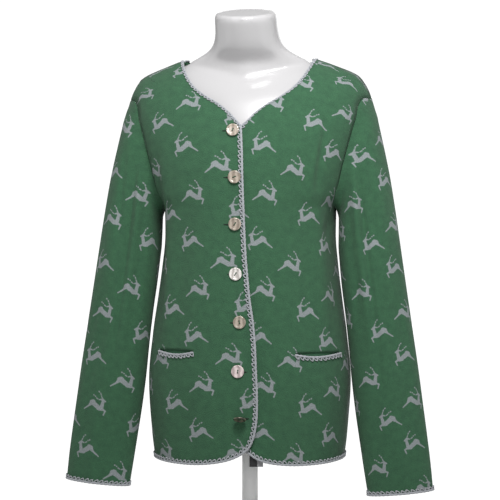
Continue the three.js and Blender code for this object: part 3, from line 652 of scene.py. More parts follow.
def capped(rings: Array) -> Solid:
    """A solid from a stack of rings, closed by a flat face at each end."""
    rows, sides, _ = rings.shape
    faces = grid_faces(rows, sides, ring=True).tolist()
    last = (rows - 1) * sides
    faces += [list(range(sides))[::-1], list(range(last, last + sides))]
    return rings.reshape(-1, 3), faces


def spun(profile: Outline, sides: int) -> Solid:
    """Points and faces of a solid turned about +Z from radii and heights, from its lower middle up."""
    radius, height = np.array(profile, dtype=float).T
    turn = np.linspace(0, 2 * np.pi, sides, endpoint=False)
    radius = radius[:, None]
    return capped(vectors(radius * np.cos(turn), radius * np.sin(turn), height[:, None]))


def tubes(
    centres: Array,
    normals: Array,
    radius: Array | float,
    sides: int,
    closed: bool = False,
    plies: int = 0,
) -> Solid:
    """Threads along strands of points.

    Args:
        centres: Strands, by points along each, by three.
        normals: A direction square to each strand at each point.
        radius: The thread's radius, or one for each point along.
        sides: Corners of its section.
        closed: Whether each strand runs back into itself.
        plies: Yarns twisted together, which show as ridges winding round the thread.

    Returns:
        The points and the faces.
    """
    strands, steps, _ = centres.shape
    if closed:
        around = np.concatenate([centres[:, -1:], centres, centres[:, :1]], axis=1)
        along = unit(around[:, 2:] - around[:, :-2])
    else:
        along = unit(np.gradient(centres, axis=1))
    first = unit(square_to(normals, along))
    second = np.cross(along, first)
    turn = np.linspace(0, 2 * np.pi, sides, endpoint=False)
    size = np.broadcast_to(np.asarray(radius, dtype=float), (steps,))[None, :, None] * np.ones((1, 1, sides))
    if plies:
        wind = np.arange(steps)[None, :, None] * (2 * np.pi / PLY_STEPS)
        size = size * (1 + PLY_RELIEF * np.cos(plies * turn - wind))
    across, up = np.cos(turn)[:, None], np.sin(turn)[:, None]
    ring = across * first[:, :, None] + up * second[:, :, None]
    points = centres[:, :, None] + size[..., None] * ring
    index = np.arange(strands * steps * sides).reshape(strands, steps, sides)
    wrapped = np.concatenate([index, index[:, :, :1]], axis=2)
    if closed:
        wrapped = np.concatenate([wrapped, wrapped[:, :1]], axis=1)
    corners = [wrapped[:, :-1, :-1], wrapped[:, :-1, 1:], wrapped[:, 1:, 1:], wrapped[:, 1:, :-1]]
    faces = np.stack(corners, axis=-1).reshape(-1, 4).tolist()
    if not closed:
        faces += index[:, 0, ::-1].tolist() + index[:, -1].tolist()
    return points.reshape(-1, 3), faces


def combined(parts: Sequence[Solid]) -> Solid:
    """Several sets of points and faces as one."""
    faces = []
    count = 0
    for points, part_faces in parts:
        faces += [[corner + count for corner in face] for face in part_faces]
        count += len(points)
    return np.vstack([points for points, _ in parts]), faces


# Cloth
@dataclass(frozen=True)
class Panel:
    """A body panel: the grid of its parameters, in rows from the hem up."""

    name: str
    side: Side
    upper: bool
    grid: Array

    def at(self, places: Array, lift: Array | float = 0.0) -> Array:
        """Points of the finished cloth at parameters, lifted off its outer face."""
        psi, w = places[..., 0], places[..., 1]
        bare = skin(self.side, psi, w)
        overlap = OVERLAP_LIFT * smooth(OVERLAP_END, OVERLAP_FULL, bare[..., 0]) if self.upper else 0.0
        height = fold_height(self.side, bare, psi) + overlap + lift
        return bare + self.normal(places) * height[..., None]

    def normal(self, places: Array) -> Array:
        """Directions out of the cloth at parameters."""
        return outward(self.side, places[..., 0], places[..., 1])

    def cut(self, places: Array) -> Array:
        """Places on the flat cloth: round the body from the centre line, and down from the ridge."""
        psi, w = places[..., 0], places[..., 1]
        return np.stack([section_length(self.side, psi, w), -w], axis=-1)


@dataclass(frozen=True)
class Pocket:
    """A slit pocket: the ends of its mouth, its height and how far its lower lip sags."""

    start: float
    end: float
    z: float
    sag: float

    def share(self, x: Array) -> Array:
        """How far along the mouth a place is."""
        return np.clip((x - self.start) / (self.end - self.start), 0, 1)

    def lower_lip(self, x: Array) -> Array:
        """Height of the lower lip."""
        return self.z - POCKET_SLIT / 2 - self.sag * np.sin(np.pi * self.share(x))

    def upper_lip(self, x: Array) -> Array:
        """Height of the upper lip, which is drawn up a little in the middle."""
        return self.z + POCKET_SLIT / 2 + POCKET_LIFT * np.sin(np.pi * self.share(x))


POCKETS = {Hand.RIGHT: Pocket(-134, -73, 297, 4.2), Hand.LEFT: Pocket(84, 149, 294, 4.2)}
HEM_HALF = float(BODY.read("half", HEM_SIDE)) + 0.01
HEM_SHARES = (-1, -0.72, -0.4, 0, 0.4, 0.72, 1)


def joined(first: Array, second: Array) -> Array:
    """Two outlines that share a point, as one."""
    return np.vstack([first, second[1:]])


def side_line() -> Array:
    """The side seam from the hem up to the underarm."""
    return outline([(BEYOND_SIDE, HEM_SIDE), (BEYOND_SIDE, UNDERARM)], ROWS_SIDE)


def ridge_line(x: float) -> Outline:
    """Front-view points of the shoulder ridge from x outwards."""
    start = (x, SHOULDER_TOP - float(RIDGE.read("drop", x)))
    return [start, *[(out, SHOULDER_TOP - drop) for out, drop in RIDGE_ROWS if out > x]]


def turned(places: Array, sign: int) -> Array:
    """The same parameters on the other side of the body for a negative sign."""
    return places * np.array([sign, 1.0])


def front_panel(name: str, edge: Outline, hem: Outline, sign: int) -> Panel:
    """A front, for the wearer's left with a positive sign."""
    neck = NECKLINE[::-1] if sign > 0 else mirrored(NECKLINE[::-1])
    start = joined(outline(edge[::-1], EDGE_ROWS), outline([edge[0], *neck], NECK_ROWS))
    side = joined(side_line(), outline([UNDERARM_POINT, *ARMHOLE, TIP_POINT], ROWS_ARMHOLE))
    shoulder = outline(ridge_line(NECKLINE[0][0]), COLUMNS_FRONT)
    bottom = outline([edge[-1], *hem, (sign * HEM_HALF, HEM_SIDE)], COLUMNS_FRONT)
    grid = relaxed(patch(bottom, turned(shoulder, sign), start, turned(side, sign)))
    return Panel(name, Side.FRONT, sign < 0, grid)


def back_panel() -> Panel:
    """The back, cut in one piece."""
    neck = [*mirrored([*BACK_NECK, NECKLINE[0]])[::-1], *BACK_NECK[1:], NECKLINE[0]]
    shoulder = outline(ridge_line(NECKLINE[0][0]), SHOULDER_COLUMNS_BACK)
    top = joined(turned(shoulder[::-1], -1), outline(neck, COLUMNS_BACK - 2 * SHOULDER_COLUMNS_BACK))
    side = joined(side_line(), outline([UNDERARM_POINT, *ARMHOLE_BACK, TIP_POINT], ROWS_ARMHOLE))
    hem = [(share * HEM_HALF, HEM_BACK + (HEM_SIDE - HEM_BACK) * share**2) for share in HEM_SHARES]
    grid = relaxed(patch(outline(hem, COLUMNS_BACK), joined(top, shoulder), turned(side, -1), side))
    return Panel("back", Side.BACK, False, grid)


def with_slit(panel: Panel, pocket: Pocket) -> tuple[Panel, Array]:
    """A front with two lines of its grid drawn to the lips of its pocket, and the faces left.

    The rows beside the mouth move down or up to the lips, and less and less over the next rows and
    columns. The faces between the lips are left out.
    """
    grid = panel.grid.copy()
    bare = skin(panel.side, grid[..., 0], grid[..., 1])
    x, z = bare[..., 0], bare[..., 2]
    middle = (pocket.start + pocket.end) / 2
    column = int(np.argmin(np.abs(x[ROWS_SIDE // 2] - middle)))
    low = int(np.argmin(np.abs(z[:, column] - pocket.z)))
    rows = np.arange(len(grid))[:, None]
    beyond = np.maximum(pocket.start - x[low], x[low] - pocket.end)
    near = 1 - smooth(0, POCKET_MARGIN * 2, beyond)
    down = (pocket.lower_lip(x[low]) - z[low]) * near
    up = (pocket.upper_lip(x[low + 1]) - z[low + 1]) * near
    below = down * np.clip(1 - (low - rows) / POCKET_BLEND, 0, 1)
    above = up * np.clip(1 - (rows - low - 1) / POCKET_BLEND, 0, 1)
    grid[..., 1] -= np.where(rows <= low, below, above)
    faces = grid_faces(len(grid), grid.shape[1]).reshape(len(grid) - 1, grid.shape[1] - 1, 4)
    open_columns = (beyond[:-1] <= 0) & (beyond[1:] <= 0)
    kept = np.ones(faces.shape[:2], dtype=bool)
    kept[low] = ~open_columns
    return Panel(panel.name, panel.side, panel.upper, grid), faces[kept]


def armhole_loop(front: Panel, back: Panel, sign: int) -> tuple[Array, Array, Array]:
    """The armhole from the shoulder tip round the front: points, directions off the seam and out."""

    def column(panel: Panel, k: int, inner: int) -> Array:
        points = panel.at(panel.grid)
        normals = panel.normal(panel.grid[ROWS_SIDE:, k])
        edge = points[ROWS_SIDE:, k]
        along = np.gradient(edge, axis=0)
        off = unit(np.cross(along, normals))
        inside = points[ROWS_SIDE - 1 : -1, inner] - edge
        off = np.where(np.sum(off * inside, axis=-1, keepdims=True) > 0, -off, off)
        return np.stack([edge, off, normals])[:, ::-1]

    near = column(front, -1, -2)
    far = column(back, -1, -2) if sign > 0 else column(back, 0, 1)
    tip = (near[:, :1] + far[:, :1]) / 2
    low = (near[:, -1:] + far[:, -1:]) / 2
    loop = np.concatenate([tip, near[:, 1:-1], low, far[:, -2:0:-1]], axis=1)
    return loop[0], unit(loop[1]), unit(loop[2])


def seam_dip(panel: Panel) -> Array:
    """How far a panel's cloth is drawn in beside its armholes, which shows the seam."""
    rows, columns = panel.grid.shape[:2]
    column = np.arange(columns)[None, :]
    steps = columns - 1 - column if panel.side is Side.FRONT else np.minimum(column, columns - 1 - column)
    up = smooth(ROWS_SIDE, ROWS_SIDE + SEAM_DIP_ROWS, np.arange(rows))[:, None]
    return SEAM_DIP * up * np.exp(-((steps / SEAM_DIP_COLUMNS) ** 2))


@dataclass(frozen=True)
class Sleeve:
    """A long set-in sleeve: which side, and how much higher its cuff hangs than the table's."""

    sign: int
    hang: float

    def ring(self, ring: Array, angle: Array) -> Array:
        """Points round the sleeve: ovals between its outer and inner line, with soft troughs."""
        start = vectors(SLEEVE.read("in_x", ring), 0, SLEEVE.read("in_z", ring))
        end = vectors(SLEEVE.read("out_x", ring), 0, SLEEVE.read("out_z", ring))
        across = (end - start) / 2
        half = np.linalg.norm(across, axis=-1)
        dent = np.zeros(np.broadcast_shapes(ring.shape, angle.shape))
        for fold in SLEEVE_FOLDS:
            along = (ring - fold.start) / (fold.end - fold.start)
            offset = (angle - fold.angle - fold.lean * (2 * along - 1)) / fold.reach
            shape = np.sin(np.pi * np.clip(along, 0, 1)) * np.exp(-(offset**2))
            dent += fold.depth * shape
        turn = np.radians(angle)
        wide = half * np.cos(turn)
        deep = (SLEEVE.read("deep", ring) - dent) * np.sin(turn)
        middle = (start + end) / 2
        direction = across / half[..., None]
        x = middle[..., 0] + direction[..., 0] * wide
        z = middle[..., 2] + direction[..., 2] * wide + self.hang * ring / SLEEVE_RINGS
        return vectors(self.sign * x, SLEEVE.read("y", ring) - deep, z)

    def rows(self, front: Panel, back: Panel) -> Array:
        """The whole sleeve, from the armhole down to the cuff."""
        seam, off, out = armhole_loop(front, back, self.sign)
        angle = np.arange(len(seam)) * (360 / len(seam))
        first = self.ring(np.array([[1.0]]), angle[None])[0]
        after = self.ring(np.array([[1 + HEAD_RING]]), angle[None])[0]
        way = unit(first - seam)
        turn = np.clip((TURNED_FROM - np.sum(way * off, axis=-1)) / TURNED_OVER, 0, 1)[:, None]
        edge = seam + off * SLEEVE_GAP - out * SEAM_DIP * (1 - turn)
        over = seam + off * TURN_RISE + out * (TURN_OUT * turn - SEAM_DIP / 2 * (1 - turn))
        s = np.linspace(0, 1, HEAD_STEPS + 1)[1:, None, None]
        rise = first - over
        reach = np.linalg.norm(rise, axis=-1, keepdims=True)
        leave = rise * HEAD_LEAVE + off * reach * HEAD_OUT * (1 - turn)
        arrive = (rise + (after - first) / HEAD_RING) / 2
        ease = HEAD_EASE * np.sin(np.pi * s) ** HEAD_ROUND * out * (1 - turn)
        bridge = ease + over + cubic(s, rise, leave, arrive)
        rest = self.ring(np.linspace(1, SLEEVE_RINGS, SLEEVE_STEPS + 1)[1:, None], angle[None])
        return np.concatenate([edge[None], ((edge + over) / 2)[None], over[None], bridge, rest])


SLEEVES = {Hand.RIGHT: Sleeve(-1, 4), Hand.LEFT: Sleeve(1, -5)}


def sleeve_cut(rows: Array) -> Array:
    """Places on the flat sleeve, opened at the underarm: round it from the front, and down its axis."""
    axis = unit(rows[-1].mean(axis=0) - rows[len(rows) // 4].mean(axis=0))
    down = (rows - rows[0, 0]) @ axis
    steps = np.diff(rows, axis=1)
    level = np.linalg.norm(steps - (steps @ axis)[..., None] * axis, axis=-1)
    place = np.pad(np.cumsum(level, axis=1), ((0, 0), (1, 0)))
    place = place - place[:, place.shape[1] // 2, None]
    return np.stack([place, -down], axis=-1)


# Edgings
@dataclass(frozen=True)
class Border:
    """A cloth edge: its points, the direction out of the cloth at each, and points just inside it.

    The size is how large the edging is at each point, where one is full size.
    """

    points: Array
    normals: Array
    inside: Array
    size: Array | None = None

    def spaced(self, step: float, closed: bool) -> tuple[Array, Array, Array, float]:
        """Points, normals and inward directions at even steps, and the step's true length."""
        rows = [self.points, self.normals, self.inside - self.points]
        if closed:
            rows = [np.vstack([row, row[:1]]) for row in rows]
        length = travelled(rows[0])
        count = max(FEWEST_STEPS, round(length[-1] / step))
        wanted = np.linspace(0, length[-1], count + 1)
        points, normals, inside = (read_along(wanted, length, row) for row in rows)
        normal = unit(normals)
        inward = square_to(square_to(inside, unit(np.gradient(points, axis=0))), normal)
        return points, normal, unit(inward), length[-1] / count

    def sizes(self, count: int) -> Array:
        """The edging's size at so many even steps, where one is full size."""
        if self.size is None:
            return np.ones(count)
        length = travelled(self.points)
        return np.interp(np.linspace(0, length[-1], count), length, self.size)


@dataclass(frozen=True)
class BlanketStitch:
    """Yarn worked over a cut edge: a thick twisted cord along it and leaning loops into the cloth.

    Sizes are the distance between loops, how far they reach in, the two radii, the loops' lean, and
    how far the cord lies in from the edge and above the cloth.
    """

    pitch: float = 7.6
    depth: float = 6.8
    cord: float = 1.75
    thread: float = 0.95
    lean: float = 2.6
    inset: float = 1.5
    rise: float = 0.5

    def build(self, name: str, border: Border, closed: bool = False) -> Piece:
        """The whole edging of one border as one mesh."""
        points, normal, inward, _ = border.spaced(CORD_STEP, closed)
        size = border.sizes(len(points))
        centre = points + (inward * self.inset + normal * self.rise) * size[:, None]
        last = len(centre) - 1 if closed else len(centre)
        radius = self.cord * size[:last]
        cord = tubes(centre[None, :last], normal[None, :last], radius, CORD_SIDES, closed, PLIES)
        return make_object(name, *combined([cord, self.loops(border, closed)]))

    def loops(self, border: Border, closed: bool) -> Solid:
        """The leaning loops: half a sine in from the cord and back, raised in the middle."""
        points, normal, inward, step = border.spaced(LOOP_STEP, closed)
        reach = step * (len(points) - 1)
        count = max(2, round(reach / self.pitch))
        t = np.linspace(0, 1, LOOP_POINTS)[None, :]
        k = np.arange(count)[:, None]
        uneven = UNEVEN * np.sin(k * UNEVEN_TURN)
        arch = np.sin(np.pi * t)
        place = (k + LOOP_FROM + uneven + t * LOOP_SHARE) * (reach / count) + self.lean * arch**2
        place = np.clip(place, 0, reach)
        depth = self.inset + (self.depth * (1 + uneven) - self.inset) * arch**LOOP_ROUND
        rise = self.rise + LOOP_ABOVE + LOOP_RISE * arch
        at = np.arange(len(points)) * step
        out = unit(read_along(place, at, normal))
        size = np.interp(place, at, border.sizes(len(points)))
        into = unit(read_along(place, at, inward)) * (depth * size)[..., None]
        centre = read_along(place, at, points) + into + out * (rise * size)[..., None]
        return tubes(centre, out, self.thread, YARN_SIDES)


def panel_border(
    panel: Panel, rows: Array, columns: Array, inner_rows: Array, inner_columns: Array
) -> Border:
    """A border along nodes of a panel's grid, with the nodes that lie inside it."""
    edge = panel.grid[rows, columns]
    inner = panel.grid[inner_rows, inner_columns]
    return Border(panel.at(edge), panel.normal(edge), panel.at(inner))


def front_border(panel: Panel) -> Border:
    """A front's hem from the side seam, its rounded corner, its front edge and its neckline."""
    rows, columns = panel.grid.shape[:2]
    hem = np.arange(columns - 1, 0, -1)
    up = np.arange(rows)
    border = panel_border(
        panel,
        np.concatenate([np.zeros_like(hem), up]),
        np.concatenate([hem, np.zeros_like(up)]),
        np.concatenate([np.ones_like(hem), np.maximum(up, 1)]),
        np.concatenate([hem, np.ones_like(up)]),
    )
    least = NECK_SIZES[panel.name]
    height = border.points[:, 2]
    low = 1 - (1 - least) * smooth(*NECK_LOW, height)
    return replace(border, size=low + (NECK_SIZE - least) * smooth(*NECK_HIGH, height))


def row_border(panel: Panel, row: int, inner: int, columns: Array) -> Border:
    """A border along part of one row of a panel's grid."""
    edge = np.full_like(columns, row)
    return panel_border(panel, edge, columns, np.full_like(columns, inner), columns)


def pocket_border(panel: Panel, pocket: Pocket) -> Border:
    """The lower lip of a pocket's mouth."""
    x = np.linspace(pocket.start, pocket.end, LIP_POINTS)
    z = pocket.lower_lip(x)
    edge = locate(np.stack([x, z], axis=-1))
    inner = locate(np.stack([x, z - LIP_INSIDE], axis=-1))
    return Border(panel.at(edge), panel.normal(edge), panel.at(inner))


# Small parts
class Shell(Enum):
    """Tints of mother-of-pearl; the shaded olive one also holds painted shade."""

    TAUPE = "taupe"
    SAND = "sand"
    WHITE = "white"
    ROSE = "rose"
    OLIVE = "olive_shaded"


@dataclass(frozen=True)
class Button:
    """A button: its middle, the tip of its face downwards, the turn of its holes, its seat and tint.

    The slit of its buttonhole ends slit millimetres from the middle, on the side that its sign says.
    """

    x: float
    z: float
    tip: float
    turn: float
    seat: float
    slit: float
    shell: Shell


ON_EDGING = 1.65
ON_CLOTH = 0.4
BUTTON_SIDES = 56
BORER_SIDES = 20
BORER_ENDS = (-4.0, 8.0)
SHARP_ANGLE = 38.0
STRAND_POINTS = 9
STRAND_SIDES = 7
STRAND_RADIUS = 0.34
STRAND_OFFSETS = (-0.32, 0.32)
STRAND_LOW = 1.2
STRAND_RISE = 0.85
SLIT_POINTS = 15
SLIT_SIDES = 8
SLIT_START = 2.0
SLIT_BELOW = 0.8
SLIT_LIFT = 0.1
SLIT_THIN = 0.25
SLIT_THICK = 0.75
BUTTON_FOOT = 8.6
BUTTON_HOLE = 1.1
BUTTON_SPREAD = 2.1
# Radii and heights from the middle of the back, round the rim, to the middle of the dish
BUTTON_PROFILE = [
    (0.02, 0),
    (8.2, 0),
    (9.3, 0.35),
    (9.85, 0.9),
    (10, 1.35),
    (9.85, 1.9),
    (9.4, 2.3),
    (8.8, 2.4),
    (8.0, 2.38),
    (7.2, 2.1),
    (6.5, 1.8),
    (5.4, 1.7),
    (0.02, 1.7),
]
BUTTONS = [
    Button(-12, 636, 0, 70, ON_EDGING, -17, Shell.TAUPE),
    Button(-8, 565, 0, 22, ON_EDGING, -17.5, Shell.TAUPE),
    Button(-7.5, 493, 0, 55, ON_EDGING, -18, Shell.SAND),
    Button(-6.5, 416, 0, 55, ON_CLOTH, -13, Shell.WHITE),
    Button(0, 342, 0, 100, ON_CLOTH, -15, Shell.TAUPE),
    Button(-2.5, 267, 0, 85, ON_CLOTH, 14, Shell.ROSE),
    Button(1.5, 196, 62, 0, ON_CLOTH, 13.5, Shell.OLIVE),
]


def place_on(panel: Panel, x: float, z: float) -> tuple[Array, Array]:
    """A point of a panel's outer face and the direction out of it."""
    place = locate([(x, z)])
    return panel.at(place)[0], panel.normal(place)[0]


def frame_along(normal: Array, tip: float, turn: float) -> Array:
    """Axes of a flat part whose face looks along a normal, tipped downwards and turned about itself."""
    lean = math.radians(tip)
    cos, sin = math.cos(lean), math.sin(lean)
    leaning = np.array([[1, 0, 0], [0, cos, -sin], [0, sin, cos]])
    base = Vector((0, 0, 1)).rotation_difference(Vector((leaning @ normal).tolist()))
    spin = math.radians(turn)
    cos, sin = math.cos(spin), math.sin(spin)
    own = np.array([[cos, -sin, 0], [sin, cos, 0], [0, 0, 1]])
    return np.array(base.to_matrix()) @ own


def loose(name: str, points: Array, faces: list[list[int]]) -> Piece:
    """A helper object on no body, to be taken out again."""
    mesh = bpy.data.meshes.new(name)
    mesh.from_pydata((points * MM).tolist(), [], faces)
    made = bpy.data.objects.new(name, mesh)
    bpy.context.scene.collection.objects.link(made)
    return made


def button_mesh() -> bpy.types.Mesh:
    """One dished button with two holes bored through it, its back on z = 0."""
    disc = loose("button_disc", *spun(BUTTON_PROFILE, BUTTON_SIDES))
    drill, faces = spun([(BUTTON_HOLE, height) for height in BORER_ENDS], BORER_SIDES)
    borers = []
    for sign in (-1, 1):
        borer = loose("borer", drill + [sign * BUTTON_SPREAD, 0, 0], faces)
        bore = disc.modifiers.new("bore", "BOOLEAN")
        bore.operation = "DIFFERENCE"
        bore.object = borer
        borers.append(borer)
    graph = bpy.context.evaluated_depsgraph_get()
    bored = bpy.data.meshes.new_from_object(disc.evaluated_get(graph))
    for spare in (disc, *borers):
        bpy.data.objects.remove(spare)
    bored.shade_smooth()
    bored.set_sharp_from_angle(angle=math.radians(SHARP_ANGLE))
    return bored


# Dress form
FORM_BOTTOM = 172.0
STUB_END = 173.0
SHOULDER_FROM = 25.0
SHOULDER_ROUNDING = {Side.FRONT: 5.0, Side.BACK: 13.0}
FORM_CLEARANCE = Table(
    "level inset",
    [
        (110, 17),
        (165, 16),
        (245, 13),
        (320, 14),
        (375, 18),
        (465, 25),
        (516, 16),
        (560, 12),
        (607, 10),
        (650, 10),
        (700, 8.2),
        (735, 6.8),
        (757, 4.4),
    ],
)
NECK = Table(
    "ring y z wide deep tilt power",
    [
        (0, -10, 700, 90, 46, 0, 1.6),
        (1, -10, 738, 103, 43, 0, 1.25),
        (2, -12, 753, 96, 45, 3, 1.3),
        (3, -16, 760, 82, 46, 5, 1.4),
        (4, -21, 767, 68, 47, 8, 1.6),
        (5, -27, 775.5, 57.5, 47.5, 10, 1.85),
        (6, -35, 788, 51.5, 47.5, 13, 2),
        (7, -44, 802, 49.5, 47, 15, 2),
        (8, -55, 820, 48.8, 47, 16, 2),
        (9, -57.5, 825.5, 47, 45.2, 16, 2),
    ],
)
NECK_LAST = 9
NECK_RINGS = 60
NECK_SIDES = 72
TORSO_RINGS = 90
TORSO_CROWDING = 1.25
TORSO_SIDES = 49
FORM_VOXEL = 3.6
FORM_SMOOTHING = 14
FORM_EVENING = 0.5
POLE_SIDES = 64
POLE_PROFILE = [(12.5, 4.8), (12.5, 171.7)]
BASE_SIDES = 128
# Radii and heights from under the foot, over its socket and down the bore for the pole
BASE_PROFILE = [
    (0.02, 0),
    (148, 0),
    (149.4, 0.6),
    (150, 2),
    (150, 7),
    (149.4, 8.4),
    (148, 9),
    (23.5, 9),
    (22.4, 9.6),
    (22, 11),
    (22, 44),
    (21.4, 45.4),
    (20, 46),
    (12.8, 46),
    (12.8, 4.5),
    (0.02, 4.5),
]


def torso_rings() -> Array:
    """Rings of the form from its ridge to its flat bottom: the cloth's section drawn inwards."""
    depth = QUARTER + SHOULDER_TOP - SHOULDER_FALL - FORM_BOTTOM
    w = (np.linspace(0, 1, TORSO_RINGS) ** TORSO_CROWDING * depth)[:, None]
    psi = np.linspace(-RIGHT_ANGLE, RIGHT_ANGLE, TORSO_SIDES)[None, :]
    level = SHOULDER_TOP - fall(w)[0]
    inset = FORM_CLEARANCE.read("inset", level)
    halves = []
    for side in (Side.FRONT, Side.BACK):
        bare = skin(side, psi, w)
        stub = smooth(SHOULDER_FROM, STUB_END, np.abs(bare[..., 0]))
        rounding = SHOULDER_ROUNDING[side] * stub * np.maximum(0, 1 - w / (2 * QUARTER))
        points = bare - outward(side, psi + 0 * w, w + 0 * psi) * (inset + rounding)[..., None]
        points[..., 0] = np.clip(points[..., 0], -STUB_END, STUB_END)
        points[..., 1] += SEAM_GAP / 2 if side is Side.FRONT else -SEAM_GAP / 2
        points[-1, :, 2] = FORM_BOTTOM
        halves.append(points)
    front, rear = halves
    return np.concatenate([front[:, :-1], rear[:, :0:-1]], axis=1)


def neck_rings() -> Array:
    """Rings of the form's neck, from inside the chest up to its tilted cap."""
    ring = np.linspace(0, NECK_LAST, NECK_RINGS)[:, None]
    turn = np.linspace(0, 2 * np.pi, NECK_SIDES, endpoint=False)[None, :]
    power = NECK.read("power", ring)
    ray = (np.abs(np.cos(turn)) ** power + np.abs(np.sin(turn)) ** power) ** (-1 / power)
    tilt = np.radians(NECK.read("tilt", ring))
    forward = NECK.read("deep", ring) * ray * np.sin(turn)
    x = NECK.read("wide", ring) * ray * np.cos(turn)
    y = NECK.read("y", ring) + forward * np.cos(tilt)
    return vectors(x, y, NECK.read("z", ring) + forward * np.sin(tilt))


# Materials
# Strokes of one stag: where each starts and ends, and its radius at both, in millimetres
STAG = [
    (-21.5, -11.5, -13, -5.5, 0.8, 1.3),
    (-13, -5.5, -9, -1.5, 1.3, 3.0),
    (-8, 0.2, -5, 1.2, 3.9, 4.0),
    (-5, 0, 5, -6.5, 4.0, 3.5),
    (5, -7, 10, -7.5, 3.5, 3.2),
    (10, -6, 12, 4, 3.2, 2.3),
    (11.5, 6.3, 15.5, 4.6, 2.3, 1.2),
    (10.5, 9, 8.8, 12.5, 0.9, 0.7),
    (8, 14.5, 7, 16.5, 0.7, 0.8),
    (4.8, 18.4, 4, 19, 0.9, 0.9),
    (9.5, 7.3, 5.5, 6.3, 1.2, 0.8),
    (3.2, 6.9, 0.8, 8.3, 0.7, 0.9),
    (-1.4, 10.4, -2, 11, 0.8, 0.8),
    (-4.6, 12, -5.2, 12.4, 0.9, 0.9),
    (12, -8.5, 16.5, -10.5, 1.6, 1.2),
    (16.5, -10.5, 14, -17, 1.1, 0.9),
]
REPEAT_WIDE = 120.0
REPEAT_TALL = 147.5
STAG_HALF_WIDE = 23.0
STAG_HALF_TALL = 20.8
STAG_FAR = 30.0
# The middle of each stag in the repeat, and one for facing right or minus one for left
STAG_PLACES = [(0, 0, -1), (53.5, -34, 1), (10, -76, 1), (81, -104, -1)]
# Sockets of a mix node that mixes colours
MIX_FIRST = 6
MIX_SECOND = 7
MIX_RESULT = 2
WHITE = (1.0, 1.0, 1.0, 1.0)
BLACK = (0.0, 0.0, 0.0, 1.0)


def linear(colour: str) -> tuple[float, float, float, float]:
    """Linear red, green, blue and one, from an sRGB colour such as '#3d6b4c'."""
    parts = [int(colour[k : k + 2], 16) / 255 for k in (1, 3, 5)]
    values = [p / 12.92 if p <= 0.04045 else ((p + 0.055) / 1.055) ** 2.4 for p in parts]
    return (*values, 1.0)


def add_node(tree: Tree, kind: str, links: dict[str | int, Link], **settings: str) -> Node:
    """A node with its settings made and its inputs joined to sockets or given values."""
    node = tree.nodes.new(kind)
    for name, value in settings.items():
        setattr(node, name, value)
    for key, value in links.items():
        if isinstance(value, Socket):
            tree.links.new(value, node.inputs[key])
        else:
            node.inputs[key].default_value = value
    return node


def new_material(name: str, **surface: Link) -> tuple[Material, Tree, Node]:
    """A material with one plain surface shader, whose inputs are named with low lines for spaces."""
    material = bpy.data.materials.new(name)
    material.use_nodes = True
    tree = material.node_tree
    shader = tree.nodes["Principled BSDF"]
    for key, value in surface.items():
        shader.inputs[key.replace("_", " ")].default_value = value
    return material, tree, shader


def scaled(tree: Tree, vector: Link, scale: Link) -> Socket:
    """A vector times a number."""
    links = {0: vector, "Scale": scale}
    return add_node(tree, "ShaderNodeVectorMath", links, operation="SCALE").outputs[0]


def cut_place(tree: Tree) -> Socket:
    """The place on the flat cloth, in millimetres."""
    flat = add_node(tree, "ShaderNodeUVMap", {}, uv_map="cut")
    return scaled(tree, flat.outputs[0], CUT_UNIT)


def stag_distance(tree: Tree, place: Socket) -> Socket:
    """Distance in millimetres to the nearest of the repeat's leaping stags, negative inside one.

    The place is brought into the box of whichever stag it is near, mirrored for those that face
    left, and measured against the tapered strokes of one chart.
    """

    def vector(operation: str, *inputs: Link) -> Socket:
        links = dict(enumerate(inputs))
        return add_node(tree, "ShaderNodeVectorMath", links, operation=operation).outputs[0]

    def scalar(operation: str, *inputs: Link) -> Socket:
        links = dict(enumerate(inputs))
        return add_node(tree, "ShaderNodeMath", links, operation=operation).outputs[0]

    half = (REPEAT_WIDE / 2, REPEAT_TALL / 2, 0.5)
    near: Link = (0.0, 0.0, 0.0)
    found: Link = 0.0
    for x, y, way in STAG_PLACES:
        moved = vector("ADD", place, (-x, -y, 0.0))
        wrapped = vector("WRAP", moved, half, tuple(-size for size in half))
        own = vector("MULTIPLY", wrapped, (way, 1.0, 0.0))
        beyond = vector("SUBTRACT", vector("ABSOLUTE", own), (STAG_HALF_WIDE, STAG_HALF_TALL, 1.0))
        sides = add_node(tree, "ShaderNodeSeparateXYZ", {0: beyond})
        within = scalar("LESS_THAN", scalar("MAXIMUM", sides.outputs[0], sides.outputs[1]), 0.0)
        near = vector("ADD", near, scaled(tree, own, within))
        found = scalar("ADD", found, within)
    distance: Link = STAG_FAR
    for x, y, end_x, end_y, radius, end_radius in STAG:
        way_x, way_y = end_x - x, end_y - y
        squared = way_x**2 + way_y**2
        start = vector("SUBTRACT", near, (x, y, 0.0))
        links = {0: start, 1: (way_x / squared, way_y / squared, 0.0)}
        dot = add_node(tree, "ShaderNodeVectorMath", links, operation="DOT_PRODUCT")
        share = add_node(tree, "ShaderNodeClamp", {0: dot.outputs["Value"]}).outputs[0]
        foot = scaled(tree, (way_x, way_y, 0.0), share)
        gap = vector("SUBTRACT", start, foot)
        length = add_node(tree, "ShaderNodeVectorMath", {0: gap}, operation="LENGTH").outputs["Value"]
        size = scalar("MULTIPLY_ADD", share, end_radius - radius, radius)
        distance = scalar("MINIMUM", distance, scalar("SUBTRACT", length, size))
    missing = scalar("MULTIPLY_ADD", found, -STAG_FAR, STAG_FAR)
    return scalar("ADD", distance, missing)


def noise(tree: Tree, place: Socket, scale: float, detail: float, colour: bool = False) -> Socket:
    """Soft noise whose blotches are about one over the scale wide, in the place's unit."""
    links = {"Vector": place, "Scale": scale, "Detail": detail}
    return add_node(tree, "ShaderNodeTexNoise", links).outputs[int(colour)]


